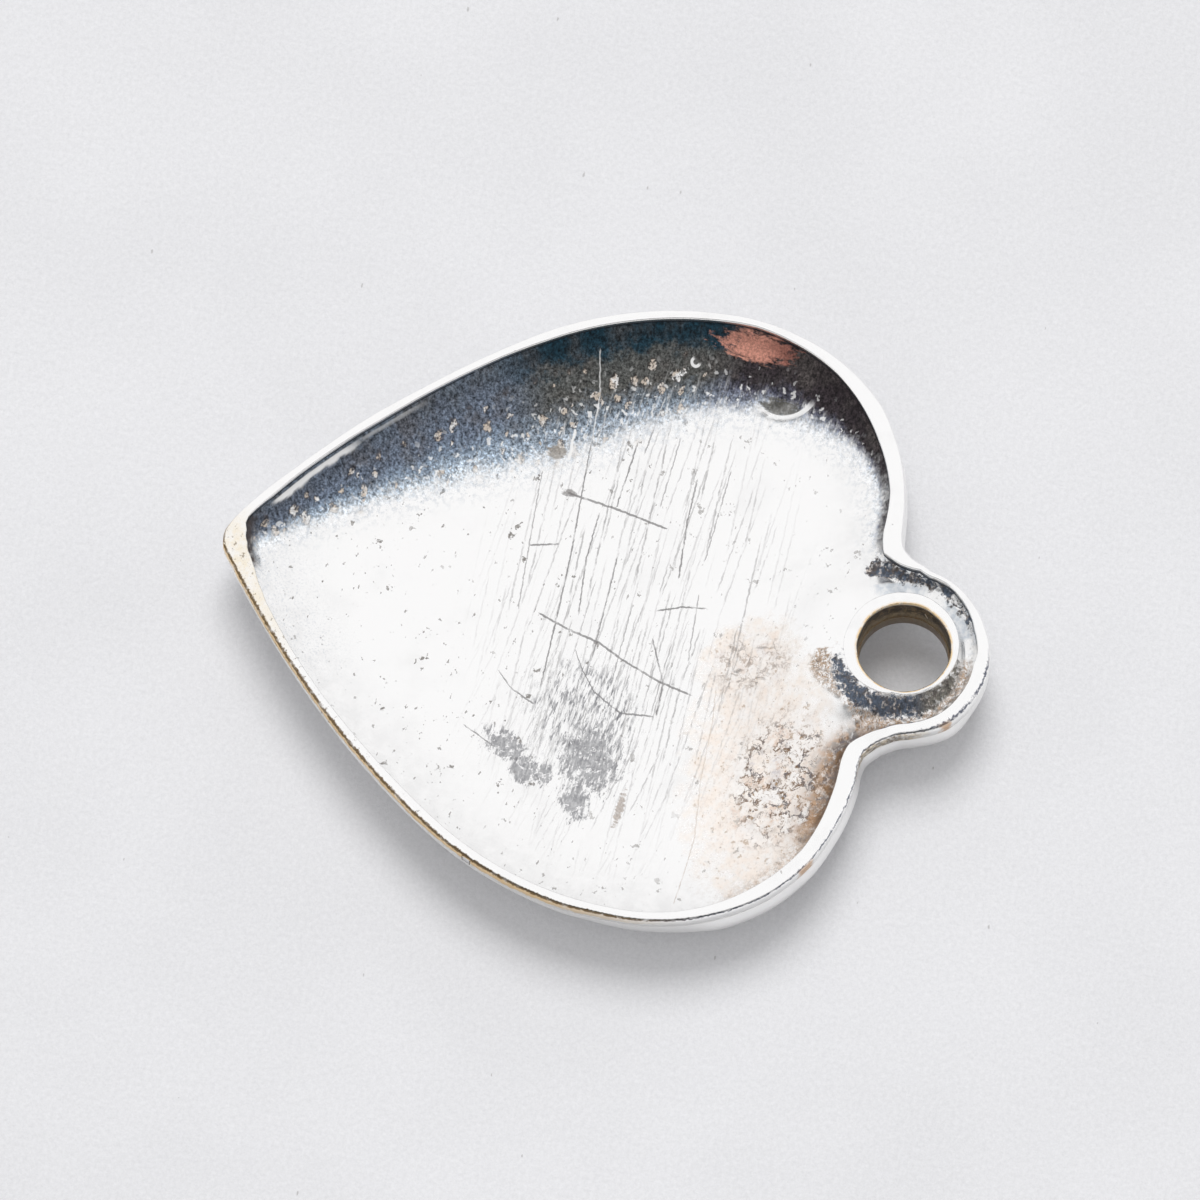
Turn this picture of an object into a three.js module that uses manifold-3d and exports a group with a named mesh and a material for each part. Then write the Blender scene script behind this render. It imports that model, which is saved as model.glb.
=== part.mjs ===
// Heart pendant with a hollow back, lying on its domed front.
// Three solids are soldered together: a dished pan, a flat-topped rim that stands on the pan's
// edge, and a collar that lines the hanging hole and is let into the pan.
// Millimetres. +Z is the open back, -Y the heart's tip, +Y the hanging loop, X the width.

import * as THREE from 'three';
import { mergeVertices } from 'three/addons/utils/BufferGeometryUtils.js';
import Module from 'manifold-3d';

// The heart's outline.
const HEART_WIDTH = 21.2;
const HEART_LENGTH = 21.45; // tip to the tops of the lobes
const LOBE_RADIUS = 6.53;
const TIP_REACH = 3.2; // how far the tip stands out past the round flanks
const SIDE_RADIUS = 31.9; // the long, nearly straight sides
const TIP_RADIUS = 0.77;
const CLEFT_RADIUS = 1.5; // the hollow curve from lobe to loop

// The rim, seen from the back.
const RIM_WIDTH = 0.38;
const RIM_HEIGHT = 0.5;
const RIM_CHAMFER = 0.07;
const INNER_TIP_RADIUS = 1.8;
const INNER_CLEFT_RADIUS = 0.6;

// The hanging loop.
const BORE_DIAMETER = 3.0;
const COLLAR_WALL = 0.28;
const COLLAR_HEIGHT = 1.0;
const COLLAR_CHAMFER = 0.06;
const COLLAR_CLEARANCE = 0.03; // all round, in its seat
const SHOULDER_WIDTH = 0.06; // what the pan shows inside the bore, below the collar
const MOAT_WIDTH = 0.6; // between the collar and the rim
const LOOP_RISE = 0.79; // lobe tops to the middle of the bore

// The pan.
const PENDANT_HEIGHT = 2.4;
const FLOOR_THICKNESS = 0.6;
const DOME_REACH = 4.4; // how far in from the edge the front goes on curving
const DISH_REACH = 4.8; // the same for the hollow of the back
const DISH_STEEPNESS = 2.2;
const SEAT_MARGIN = 0.25; // level metal round the collar
const SEAT_SLOPE_LENGTH = 1.6; // from that level down into the dish

// How finely the round shapes are cut into flats.
const ARC_STEPS = 10;
const PAN_RINGS = 12;
const RING_BUNCHING = 1.6; // more than 1 draws the rings towards the edge
const BORE_STEPS = 48;
const RULER_STEPS = 200;
const MERGE_DISTANCE = 1e-5;
const CUT_PAST = 1; // how far the hole's cutter runs past the metal

const boreRadius = BORE_DIAMETER / 2;
const collarRadius = boreRadius + COLLAR_WALL;
const loopRadius = collarRadius + MOAT_WIDTH + RIM_WIDTH;
const loopCentre = new THREE.Vector2(0, HEART_LENGTH + LOOP_RISE);
const overallLength = loopCentre.y + loopRadius;
const rimFoot = PENDANT_HEIGHT - RIM_HEIGHT;
const collarFoot = PENDANT_HEIGHT - COLLAR_HEIGHT;

// The circles that the right half of the outline is made of. A flank and a lobe meet where the
// heart is widest. The side circle holds both the flank and the tip, and touches them inside.
const widestY = HEART_LENGTH - LOBE_RADIUS;
const flankRadius = widestY - TIP_REACH;
const lobeCentre = new THREE.Vector2(HEART_WIDTH / 2 - LOBE_RADIUS, widestY);
const flankCentre = new THREE.Vector2(HEART_WIDTH / 2 - flankRadius, widestY);
const sideCentre = meeting(
  new THREE.Vector2(0, TIP_RADIUS),
  SIDE_RADIUS - TIP_RADIUS,
  flankCentre,
  SIDE_RADIUS - flankRadius,
);

// Where two circles cross, on the left of the way from the first centre to the second.
function meeting(first, firstRadius, second, secondRadius) {
  const way = second.clone().sub(first);
  const apart = way.length();
  const along = (apart ** 2 + firstRadius ** 2 - secondRadius ** 2) / (2 * apart);
  const aside = Math.sqrt(firstRadius ** 2 - along ** 2);
  way.normalize();
  const left = new THREE.Vector2(-way.y, way.x);
  return first.clone().addScaledVector(way, along).addScaledVector(left, aside);
}

function bearing(from, to) {
  return Math.atan2(to.y - from.y, to.x - from.x);
}

function mirror(point) {
  return new THREE.Vector2(-point.x, point.y);
}

function arc(centre, radius, from, to) {
  return new THREE.EllipseCurve(centre.x, centre.y, radius, radius, from, to, to < from);
}

// The outline moved inwards by inset, as arcs: anticlockwise from the foot of the right side,
// over the loop and down the left side, and round the tip.
function outline(inset, tipRadius, cleftRadius) {
  const side = SIDE_RADIUS - inset;
  const flank = flankRadius - inset;
  const lobe = LOBE_RADIUS - inset;
  const loop = loopRadius - inset;
  const tipDrop = Math.sqrt((side - tipRadius) ** 2 - sideCentre.x ** 2);
  const tipCentre = new THREE.Vector2(0, sideCentre.y - tipDrop);
  const cleft = meeting(loopCentre, loop + cleftRadius, lobeCentre, lobe + cleftRadius);
  const foot = bearing(sideCentre, tipCentre);
  const hip = bearing(sideCentre, flankCentre);
  const shoulder = bearing(lobeCentre, cleft);
  const neck = bearing(loopCentre, cleft);
  return [
    arc(sideCentre, side, foot, hip),
    arc(flankCentre, flank, hip, 0),
    arc(lobeCentre, lobe, 0, shoulder),
    arc(cleft, cleftRadius, shoulder - Math.PI, neck - Math.PI),
    arc(loopCentre, loop, neck, Math.PI - neck),
    arc(mirror(cleft), cleftRadius, -neck, -shoulder),
    arc(mirror(lobeCentre), lobe, Math.PI - shoulder, Math.PI),
    arc(mirror(flankCentre), flank, Math.PI, Math.PI - hip),
    arc(mirror(sideCentre), side, Math.PI - hip, Math.PI - foot),
    arc(tipCentre, tipRadius, -Math.PI - foot, foot),
  ];
}

const outerEdge = outline(0, TIP_RADIUS, CLEFT_RADIUS);
const innerEdge = outline(RIM_WIDTH, INNER_TIP_RADIUS, INNER_CLEFT_RADIUS);

function corners(arcs, steps) {
  return arcs.flatMap((curve) => curve.getPoints(steps).slice(0, -1));
}

const outer = corners(outerEdge, ARC_STEPS);
const inner = corners(innerEdge, ARC_STEPS);

// The distance from a point to an edge, made smooth where two sides are equally near: each short
// piece of the edge counts by the cube of its nearness, and a straight edge gives its distance.
function ruler(arcs) {
  const marks = corners(arcs, RULER_STEPS);
  const pieces = marks.map((mark, i) => ({
    middle: mark.clone().lerp(marks[(i + 1) % marks.length], 0.5),
    length: mark.distanceTo(marks[(i + 1) % marks.length]),
  }));
  return (point) => {
    let nearness = 0;
    for (const { middle, length } of pieces) {
      nearness += length / (2 * middle.distanceTo(point) ** 3);
    }
    return 1 / Math.sqrt(nearness);
  };
}

const fromOuterEdge = ruler(outerEdge);
const fromInnerEdge = ruler(innerEdge);

// Height of the domed front: a quarter ellipse from the edge in to the flat that it rests on.
function frontHeight(point) {
  const left = Math.max(0, 1 - fromOuterEdge(point) / DOME_REACH);
  return rimFoot * (1 - Math.sqrt(1 - left ** 2));
}

// Height of the hollow back: the dish, and the level seat that slopes down into it.
function backHeight(point) {
  const left = Math.max(0, 1 - fromInnerEdge(point) / DISH_REACH);
  const dish = left ** DISH_STEEPNESS;
  const beyond = point.distanceTo(loopCentre) - collarRadius - SEAT_MARGIN;
  const slope = THREE.MathUtils.clamp(beyond / SEAT_SLOPE_LENGTH, 0, 1);
  const seat = (1 + Math.cos(Math.PI * slope)) / 2;
  return THREE.MathUtils.lerp(FLOOR_THICKNESS, rimFoot, dish + seat - dish * seat);
}

// Outlines that shrink towards the middle of the heart, each point at its own height.
function shrinking(points, middle, heightAt) {
  const rings = [];
  for (let k = 1; k < PAN_RINGS; k += 1) {
    const share = 1 - (k / PAN_RINGS) ** RING_BUNCHING;
    rings.push(points.map((point) => {
      const at = middle.clone().lerp(point, share);
      return new THREE.Vector3(at.x, at.y, heightAt(at));
    }));
  }
  return rings;
}

function level(points, z) {
  return points.map((point) => new THREE.Vector3(point.x, point.y, z));
}

// A closed surface through rings of equally many points. The rings run from pole to pole, or
// where no poles are given, back round to the first ring.
function surface(rings, poles) {
  const around = rings[0].length;
  const positions = rings.flat().flatMap((p) => [p.x, p.y, p.z]);
  const triangles = [];
  const spans = poles ? rings.length - 1 : rings.length;
  for (let r = 0; r < spans; r += 1) {
    const here = r * around;
    const there = ((r + 1) % rings.length) * around;
    for (let i = 0; i < around; i += 1) {
      const next = (i + 1) % around;
      triangles.push(here + i, here + next, there + next);
      triangles.push(here + i, there + next, there + i);
    }
  }
  if (poles) {
    const [start, end] = poles;
    const first = rings.length * around;
    const lastRing = first - around;
    positions.push(start.x, start.y, start.z, end.x, end.y, end.z);
    for (let i = 0; i < around; i += 1) {
      const next = (i + 1) % around;
      triangles.push(first, next, i);
      triangles.push(first + 1, lastRing + i, lastRing + next);
    }
  }
  const geometry = new THREE.BufferGeometry();
  geometry.setAttribute('position', new THREE.Float32BufferAttribute(positions, 3));
  geometry.setIndex(triangles);
  return geometry;
}

// A turned shape round the bore's axis, from a profile of [radius, height] points.
function turned(profile) {
  const points = profile.map(([radius, height]) => new THREE.Vector2(radius, height));
  const geometry = new THREE.LatheGeometry(points, BORE_STEPS);
  geometry.rotateX(Math.PI / 2);
  return geometry;
}

const wasm = await Module();
wasm.setup();

function solid(geometry) {
  const bare = new THREE.BufferGeometry();
  bare.setAttribute('position', geometry.getAttribute('position'));
  bare.setIndex(geometry.getIndex());
  const merged = mergeVertices(bare, MERGE_DISTANCE);
  return new wasm.Manifold(new wasm.Mesh({
    numProp: 3,
    vertProperties: merged.attributes.position.array,
    triVerts: new Uint32Array(merged.index.array),
  }));
}

function geometryOf(body) {
  const mesh = body.getMesh();
  const geometry = new THREE.BufferGeometry();
  geometry.setAttribute('position', new THREE.BufferAttribute(mesh.vertProperties, 3));
  geometry.setIndex(new THREE.BufferAttribute(mesh.triVerts, 1));
  return geometry;
}

// The dished pan: a domed front, a hollow back, a level ledge for the rim, and a stepped hole
// that the collar sits in.
function heartPan() {
  const middle = new THREE.Vector2(0, widestY - TIP_REACH);
  const front = shrinking(outer, middle, frontHeight).reverse();
  const back = shrinking(inner, middle, backHeight);
  const rings = [...front, level(outer, rimFoot), level(inner, rimFoot), ...back];
  const frontPole = new THREE.Vector3(middle.x, middle.y, frontHeight(middle));
  const backPole = new THREE.Vector3(middle.x, middle.y, backHeight(middle));
  const hole = turned([
    [0, -CUT_PAST],
    [boreRadius - SHOULDER_WIDTH, -CUT_PAST],
    [boreRadius - SHOULDER_WIDTH, collarFoot],
    [collarRadius + COLLAR_CLEARANCE, collarFoot],
    [collarRadius + COLLAR_CLEARANCE, PENDANT_HEIGHT + CUT_PAST],
    [0, PENDANT_HEIGHT + CUT_PAST],
  ]);
  hole.translate(loopCentre.x, loopCentre.y, 0);
  return geometryOf(solid(surface(rings, [frontPole, backPole])).subtract(solid(hole)));
}

// The rim: a band between the two outlines, with both upper corners broken.
function rimBand() {
  const top = PENDANT_HEIGHT;
  const corner = top - RIM_CHAMFER;
  const outerTop = outer.map((point, i) => point.clone().lerp(inner[i],
    RIM_CHAMFER / point.distanceTo(inner[i])));
  const innerTop = inner.map((point, i) => point.clone().lerp(outer[i],
    RIM_CHAMFER / point.distanceTo(outer[i])));
  return surface([
    level(inner, rimFoot),
    level(outer, rimFoot),
    level(outer, corner),
    level(outerTop, top),
    level(innerTop, top),
    level(inner, corner),
  ], null);
}

// The collar: a short tube with both upper corners broken.
function collarTube() {
  const corner = PENDANT_HEIGHT - COLLAR_CHAMFER;
  return turned([
    [boreRadius, collarFoot],
    [collarRadius, collarFoot],
    [collarRadius, corner],
    [collarRadius - COLLAR_CHAMFER, PENDANT_HEIGHT],
    [boreRadius + COLLAR_CHAMFER, PENDANT_HEIGHT],
    [boreRadius, corner],
    [boreRadius, collarFoot],
  ]);
}

function piece(name, geometry, material) {
  const mesh = new THREE.Mesh(geometry, new THREE.MeshStandardMaterial(material));
  mesh.name = name;
  return mesh;
}

const pendant = new THREE.Group();
pendant.position.y = -overallLength / 2;

pendant.add(piece('heart_pan', heartPan(), {
  color: 0xdcd8d2,
  roughness: 0.3,
  metalness: 1,
}));

pendant.add(piece('edge_rim', rimBand(), {
  color: 0xeae7e2,
  roughness: 0.18,
  metalness: 1,
}));

const collar = piece('bore_collar', collarTube(), {
  color: 0xe2ddd3,
  roughness: 0.22,
  metalness: 1,
});
collar.position.set(loopCentre.x, loopCentre.y, 0);
pendant.add(collar);

export default pendant;
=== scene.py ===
import math

import bpy
import numpy as np
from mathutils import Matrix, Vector, noise


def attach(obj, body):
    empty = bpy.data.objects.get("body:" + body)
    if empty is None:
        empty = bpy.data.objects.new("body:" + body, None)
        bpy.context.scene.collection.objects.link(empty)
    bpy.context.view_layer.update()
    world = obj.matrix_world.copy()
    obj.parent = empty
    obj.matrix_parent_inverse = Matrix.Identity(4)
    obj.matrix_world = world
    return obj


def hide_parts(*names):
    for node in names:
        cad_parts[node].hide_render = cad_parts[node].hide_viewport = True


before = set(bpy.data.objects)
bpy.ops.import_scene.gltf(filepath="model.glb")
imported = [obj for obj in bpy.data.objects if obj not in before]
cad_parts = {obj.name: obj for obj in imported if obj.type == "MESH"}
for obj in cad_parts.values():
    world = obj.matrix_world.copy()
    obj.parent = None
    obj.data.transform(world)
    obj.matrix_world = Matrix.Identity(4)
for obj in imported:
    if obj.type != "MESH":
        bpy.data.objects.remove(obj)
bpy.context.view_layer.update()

bl_info = {
    "name": "Heart pendant",
    "version": (1, 0, 0),
    "blender": (4, 5, 0),
    "location": "3D View > Sidebar > Pendant",
    "description": "Makes a worn silver-plated heart pendant over its solids",
    "category": "Object",
}

MM = 0.001

# The plan and the heights in millimetres, as the solids have them, but the seat slopes down
# further here. The tip is at Y 0 until BACK_TO_MIDDLE moves the whole plan.
HEART_WIDTH = 21.2
HEART_LENGTH = 21.45
LOBE_RADIUS = 6.53
TIP_REACH = 3.2
SIDE_RADIUS = 31.9
TIP_RADIUS = 0.77
CLEFT_RADIUS = 1.5
BORE_RADIUS = 1.5
COLLAR_RADIUS = 1.78
LOOP_RADIUS = 2.76
LOOP_RISE = 0.79
PENDANT_HEIGHT = 2.4
RIM_FOOT = 1.9
COLLAR_FOOT = 1.4
WEB_FOOT = 0.75  # the front of the loop
FLOOR_THICKNESS = 0.6
DOME_REACH = 4.4
DISH_REACH = 4.8
DISH_STEEPNESS = 2.2
SEAT_MARGIN = 0.25
SEAT_SLOPE = 4.2
COLLAR_SLOPE_RISE = 0.47
SHELF_RISE = 0.26
BACK_TO_MIDDLE = 12.5

LOBE = np.array([HEART_WIDTH / 2 - LOBE_RADIUS, HEART_LENGTH - LOBE_RADIUS - BACK_TO_MIDDLE])
FLANK_RADIUS = HEART_LENGTH - LOBE_RADIUS - TIP_REACH
FLANK = np.array([HEART_WIDTH / 2 - FLANK_RADIUS, LOBE[1]])
LOOP = np.array([0.0, HEART_LENGTH + LOOP_RISE - BACK_TO_MIDDLE])
BORE = LOOP + np.array([-0.2, -0.05])  # the real hole is a little off the loop's middle
MIDDLE = np.array([0.0, LOBE[1] - TIP_REACH])


def crossing(first, first_radius, second, second_radius):
    """Where two circles cross, on the left of the way from the first centre to the second."""
    way = second - first
    apart = math.hypot(*way)
    along = (apart**2 + first_radius**2 - second_radius**2) / (2 * apart)
    aside = math.sqrt(first_radius**2 - along**2)
    way = way / apart
    return first + way * along + np.array([-way[1], way[0]]) * aside


SIDE = crossing(
    np.array([0.0, TIP_RADIUS - BACK_TO_MIDDLE]), SIDE_RADIUS - TIP_RADIUS,
    FLANK, SIDE_RADIUS - FLANK_RADIUS)


def bearing(start, end):
    return math.atan2(end[1] - start[1], end[0] - start[0])


def heart_outline(inset, tip_radius, cleft_radius, steps):
    """Points round the outline moved inwards by inset, anticlockwise from the foot of the right
    side, with so many steps on each of its ten arcs."""
    side, flank = SIDE_RADIUS - inset, FLANK_RADIUS - inset
    lobe, loop = LOBE_RADIUS - inset, LOOP_RADIUS - inset
    tip = np.array([0.0, SIDE[1] - math.sqrt((side - tip_radius)**2 - SIDE[0]**2)])
    cleft = crossing(LOOP, loop + cleft_radius, LOBE, lobe + cleft_radius)
    foot, hip = bearing(SIDE, tip), bearing(SIDE, FLANK)
    shoulder, neck = bearing(LOBE, cleft), bearing(LOOP, cleft)
    other = np.array([-1.0, 1.0])
    half, whole = math.pi, 2 * math.pi
    arcs = [
        (SIDE, side, foot, hip),
        (FLANK, flank, hip, 0.0),
        (LOBE, lobe, 0.0, shoulder),
        (cleft, cleft_radius, shoulder - half, neck - half),
        (LOOP, loop, neck, half - neck),
        (cleft * other, cleft_radius, -neck, -shoulder),
        (LOBE * other, lobe, half - shoulder, half),
        (FLANK * other, flank, half, half - hip),
        (SIDE * other, side, half - hip, half - foot),
        (tip, tip_radius, half - foot, whole + foot),
    ]
    points = []
    for place, ((centre, radius, start, end), count) in enumerate(zip(arcs, steps)):
        hollow = place in (3, 5)
        while hollow and end > start:
            end -= whole
        while not hollow and end < start:
            end += whole
        turn = start + (end - start) * np.arange(count) / count
        points.append(centre + radius * np.stack([np.cos(turn), np.sin(turn)], 1))
    return np.concatenate(points)


# Points on each of the outline's ten arcs, and rings in the front and the back.
STEPS = (84, 34, 96, 24, 96, 24, 96, 34, 84, 20)
FRONT_STEPS = 44
BACK_STEPS = 100
RULER_STEPS = (120, 50, 120, 30, 120, 30, 120, 50, 120, 24)


def ruler(marks):
    """The distance from points to an outline, smooth where two sides are equally near."""
    ways = np.roll(marks, -1, 0) - marks
    middles = marks + ways / 2
    lengths = np.hypot(*ways.T)

    def measure(points):
        near = np.empty(len(points))
        for start in range(0, len(points), 2000):
            some = points[start:start + 2000, None]
            offset = some - marks
            share = np.clip((offset * ways).sum(2) / lengths**2, 0, 1)
            exact = np.hypot(*np.moveaxis(offset - ways * share[..., None], 2, 0)).min(1)
            apart = np.maximum(np.hypot(*np.moveaxis(some - middles, 2, 0)), 0.05)
            even = 1 / np.sqrt((lengths / (2 * apart**3)).sum(1))
            near[start:start + 2000] = exact + (even - exact) * ease(exact, 0.15, 0.6)
        return near
    return measure


def ease(value, low, high):
    """0 below low, 1 above high, and smooth between them."""
    share = np.clip((value - low) / (high - low), 0, 1)
    return share * share * (3 - 2 * share)


def ripple(points, size, seed, octaves=1):
    """Smooth noise from -1 to 1 over points in millimetres, with features of about that size."""
    out = np.zeros(len(points))
    for octave in range(octaves):
        grain = size / 2**octave
        out += np.array([noise.noise(Vector((x / grain, y / grain, seed + 7.3 * octave)))
                         for x, y in points]) / 2**octave
    return out


def pebbles(points, size, seed):
    """Rounded lumps set close together, 1 on their tops and 0 between them."""
    near = np.array([noise.voronoi(Vector((x / size, y / size, seed)))[0][0] for x, y in points])
    return np.clip(1 - 1.7 * near, 0, 1)


def blot(points, centre, reach, turn=0.0):
    """1 at the centre of an ellipse and 0 from its edge outwards."""
    c, s = math.cos(turn), math.sin(turn)
    offset = points - np.array(centre)
    across = (offset[:, 0] * c + offset[:, 1] * s) / reach[0]
    along = (-offset[:, 0] * s + offset[:, 1] * c) / reach[1]
    return 1 - ease(np.hypot(across, along), 0.35, 1)


def clock(points):
    """Degrees round the heart's middle, from the tip by the left side to the loop."""
    offset = points - MIDDLE
    return np.degrees(np.arctan2(-offset[:, 0], -offset[:, 1]))


# The real rim is a little uneven. By degrees round the heart's middle, in millimetres from the
# plan's outline: how far out its outer wall and the outer edge of its flat top lie, and how far
# in its inner edge lies.
RIM_LINES = (
    (-180, 0.00, -0.18, 0.52), (-174, 0.00, -0.23, 0.50), (-170, 0.05, -0.23, 0.42),
    (-167, 0.02, -0.13, 0.38), (-164.5, 0.10, 0.02, 0.30), (-162, 0.06, -0.04, 0.42),
    (-159.8, 0.00, -0.10, 0.58), (-154.7, 0.06, -0.02, 0.56), (-150, 0.06, -0.03, 0.53),
    (-145, 0.06, -0.04, 0.46), (-140, 0.12, 0.02, 0.38), (-130.7, 0.13, 0.04, 0.37),
    (-121, 0.05, -0.05, 0.34), (-112, 0.00, -0.06, 0.33), (-102, 0.00, -0.06, 0.31),
    (-96.8, 0.05, -0.02, 0.30), (-86, 0.05, -0.05, 0.30), (-63, 0.07, -0.02, 0.30),
    (-44.7, 0.04, -0.06, 0.30), (-32, 0.00, -0.10, 0.30), (-21, -0.03, -0.14, 0.34),
    (-12, -0.05, -0.15, 0.44), (-8, -0.05, -0.15, 0.56), (-5.2, -0.05, -0.14, 0.72),
    (-2.2, -0.04, -0.12, 0.84), (0, -0.02, -0.07, 0.82), (2.2, 0.06, 0.03, 0.58),
    (3.4, 0.10, 0.08, 0.34), (4.6, 0.12, 0.11, 0.22), (6.2, 0.14, 0.12, 0.20),
    (11, 0.14, 0.12, 0.18), (15.5, 0.10, 0.08, 0.17), (26, 0.09, 0.07, 0.20),
    (34, 0.08, 0.06, 0.25),
    (44.7, 0.02, 0.00, 0.26), (63, 0.00, -0.02, 0.28), (72, 0.00, -0.02, 0.34),
    (90, 0.00, -0.02, 0.33), (101, 0.00, -0.02, 0.30), (110, 0.00, -0.02, 0.27),
    (117, 0.00, -0.02, 0.32), (125.8, 0.07, 0.04, 0.35), (135, 0.13, 0.10, 0.45),
    (140, 0.07, 0.04, 0.49), (149.7, 0.00, -0.05, 0.49), (154.7, -0.02, -0.10, 0.58),
    (159.9, 0.02, -0.06, 0.66), (162.3, 0.14, 0.08, 0.32), (164.6, 0.27, 0.22, -0.04),
    (167.2, 0.19, 0.15, 0.00), (170, 0.08, 0.05, 0.17), (173.8, 0.00, -0.04, 0.36),
    (177.7, 0.00, -0.12, 0.42),
)


def rim_lines(steps):
    """The rim's outer wall, the outer edge of its top and its inner edge, point by point."""
    plan = heart_outline(0, TIP_RADIUS, CLEFT_RADIUS, steps)
    way = np.roll(plan, -1, 0) - np.roll(plan, 1, 0)
    way /= np.hypot(*way.T)[:, None]
    outward = np.stack([way[:, 1], -way[:, 0]], 1)
    degrees, wall, edge, inner = zip(*RIM_LINES)
    turn = clock(plan)
    # The rim ends bluntly inside the tip: there its inner edge lies towards the heart's middle.
    blunt = (1 - ease(np.abs(turn), 6, 12))[:, None]
    from_middle = plan - MIDDLE
    from_middle /= np.hypot(*from_middle.T)[:, None]
    spread = outward + (from_middle - outward) * blunt
    spread /= np.hypot(*spread.T)[:, None]
    lines = [plan + ways * np.interp(turn, degrees, far, period=360)[:, None]
             for ways, far in ((outward, wall), (outward, edge), (spread, -np.array(inner)))]
    box = np.array([HEART_WIDTH / 2, BACK_TO_MIDDLE])
    return [np.clip(line, -box, box) for line in lines]


from_outer = ruler(rim_lines(RULER_STEPS)[0])
from_inner = ruler(rim_lines(RULER_STEPS)[2])

# How far in from the rim the dark tarnish and its painted dark reflection reach, by degrees round
# the left side.
TARNISH_AND_REFLECTION_REACH = ((-12, -0.8), (0, 0.2), (3, 0.6), (5, 0.9), (10, 1.2), (15, 1.5), (20, 1.72),
                 (30, 2.15), (40, 2.45), (50, 2.68), (60, 2.86), (70, 2.98), (80, 3.0),
                 (90, 2.92), (100, 2.68), (110, 2.32), (118, 1.9), (125, 1.52), (130, 1.22),
                 (135, 0.88), (140, 0.55), (145, 0.36), (150, 0.22), (156, 0.1), (162, -0.4))


def tarnish_and_reflection_reach(points):
    degrees, reach = zip(*TARNISH_AND_REFLECTION_REACH)
    return np.interp(clock(points), degrees, reach)


# Stains in the groove round the collar, by degrees round the bore: nearest and furthest place. The
# blue-black and dark ones are partly painted dark reflection.
NAVY_STAIN_AND_REFLECTION = ((-76, 2.05, 2.1), (-70, 1.96, 2.29), (-60, 1.9, 2.46), (-45, 1.82, 2.52),
              (-30, 1.78, 2.49), (-15, 1.73, 2.4), (0, 1.62, 2.34), (15, 1.6, 2.27),
              (30, 1.6, 2.22), (45, 1.62, 2.12), (60, 1.63, 2.06), (72, 1.69, 1.96),
              (86, 1.75, 1.85))
TAN_STAIN = ((-82, 2.4, 2.8), (-72, 2.27, 3.1), (-60, 2.42, 3.0), (-40, 2.46, 2.62),
             (-28, 2.4, 2.75), (-20, 2.3, 3.05), (-8, 2.25, 2.95), (0, 2.22, 2.74),
             (10, 2.2, 2.6), (30, 2.15, 2.49), (45, 2.05, 2.38), (60, 1.96, 2.34),
             (75, 1.9, 2.3), (92, 1.9, 2.2))
DARK_STAIN_AND_REFLECTION = ((114, 2.28, 2.36), (130, 2.24, 2.46), (145, 2.2, 2.56), (152, 2.24, 2.6),
              (165, 2.33, 2.72), (180, 2.3, 2.8), (188, 2.36, 2.85), (195, 2.47, 3.1),
              (205, 2.6, 3.4), (212, 2.78, 3.3), (215, 2.95, 3.1))


def stain_depth(points, places):
    """How far inside a stain round the bore the points lie, below 0 outside it."""
    offset = points - BORE
    degrees, low, high = (np.array(column, float) for column in zip(*places))
    turn = (np.degrees(np.arctan2(offset[:, 1], offset[:, 0])) - degrees[0]) % 360 + degrees[0]
    away = np.hypot(*offset.T)
    inside = np.minimum(away - np.interp(turn, degrees, low),
                        np.interp(turn, degrees, high) - away)
    past = np.minimum(turn - degrees[-1], degrees[0] + 360 - turn)
    return np.where(past > 0, np.minimum(inside, -np.radians(past) * 2.2), inside)


# Cuts in the back that run along X and along Y, in order across: how strong each one is, the
# spans that it covers, and the places that it runs through or would run through, each as the
# place along and then the place across.
CUTS_ALONG_X = (
    (0.35, ((-4.9, 0.1),), ((-4.91, -2.94), (-4.23, -2.94), (-2.43, -2.91), (0.09, -2.84))),
    (0.5, ((-9.0, 2.6),), ((-8.99, -1.82), (-7.56, -1.56), (-4.91, -1.56), (-1.98, -1.52),
                           (2.63, -1.65))),
    (0.5, ((-6.4, -3.95), (-3.8, -0.05)), ((-6.42, -0.08), (-3.95, -0.38), (-3.79, -0.87),
                                          (-2.08, -1.01), (-0.05, -0.9))),
    (0.4, ((-8.0, -5.9), (-2.4, 1.3)), ((-7.97, 0.52), (-5.93, 0.18), (-2.0, -0.05),
                                        (1.3, -0.2))),
    (0.35, ((-6.8, -4.2), (-0.9, 2.2)), ((-6.8, 1.25), (-4.2, 1.0), (-0.9, 0.75), (2.2, 0.55))),
    (0.65, ((-5.5, -1.9), (0.2, 2.9)), ((-5.5, 2.02), (-4.03, 1.96), (-1.86, 2.04), (0.2, 1.56),
                                        (1.71, 2.2), (2.84, 2.18))),
    (0.35, ((-6.0, -2.6), (-1.6, 0.9)), ((-6.0, 3.05), (-2.6, 2.75), (0.9, 2.85))),
    (0.3, ((1.5, 9.6),), ((1.47, 3.89), (2.8, 4.0), (4.8, 3.98), (6.89, 4.16), (9.6, 3.95))),
)
CUTS_ALONG_Y = (
    (1.0, ((-2.05, 1.4),), ((-1.96, -4.22), (-0.24, -3.94), (1.29, -3.59))),
    (0.7, ((-2.95, -1.9),), ((-2.93, -2.22), (-1.96, -2.43))),
    (0.5, ((1.5, 3.2),), ((1.53, -0.71), (2.32, -1.0), (3.16, -1.08))),
    (1.0, ((-2.2, 3.2),), ((-2.16, 0.04), (-1.14, 0.42), (-0.11, 0.69), (0.83, 1.18),
                           (2.03, 1.67), (3.13, 1.96))),
    (0.7, ((-0.85, 2.15),), ((-0.8, 1.06), (-0.45, 1.7), (0.07, 2.41), (1.03, 2.98),
                             (2.12, 2.9))),
    (0.6, ((-3.15, -1.7),), ((-3.11, 2.19), (-2.61, 2.73), (-1.75, 3.17), (-0.5, 3.45))),
    (0.5, ((-3.9, -2.65),), ((-3.83, 4.32), (-2.67, 4.91))),
)


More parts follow.
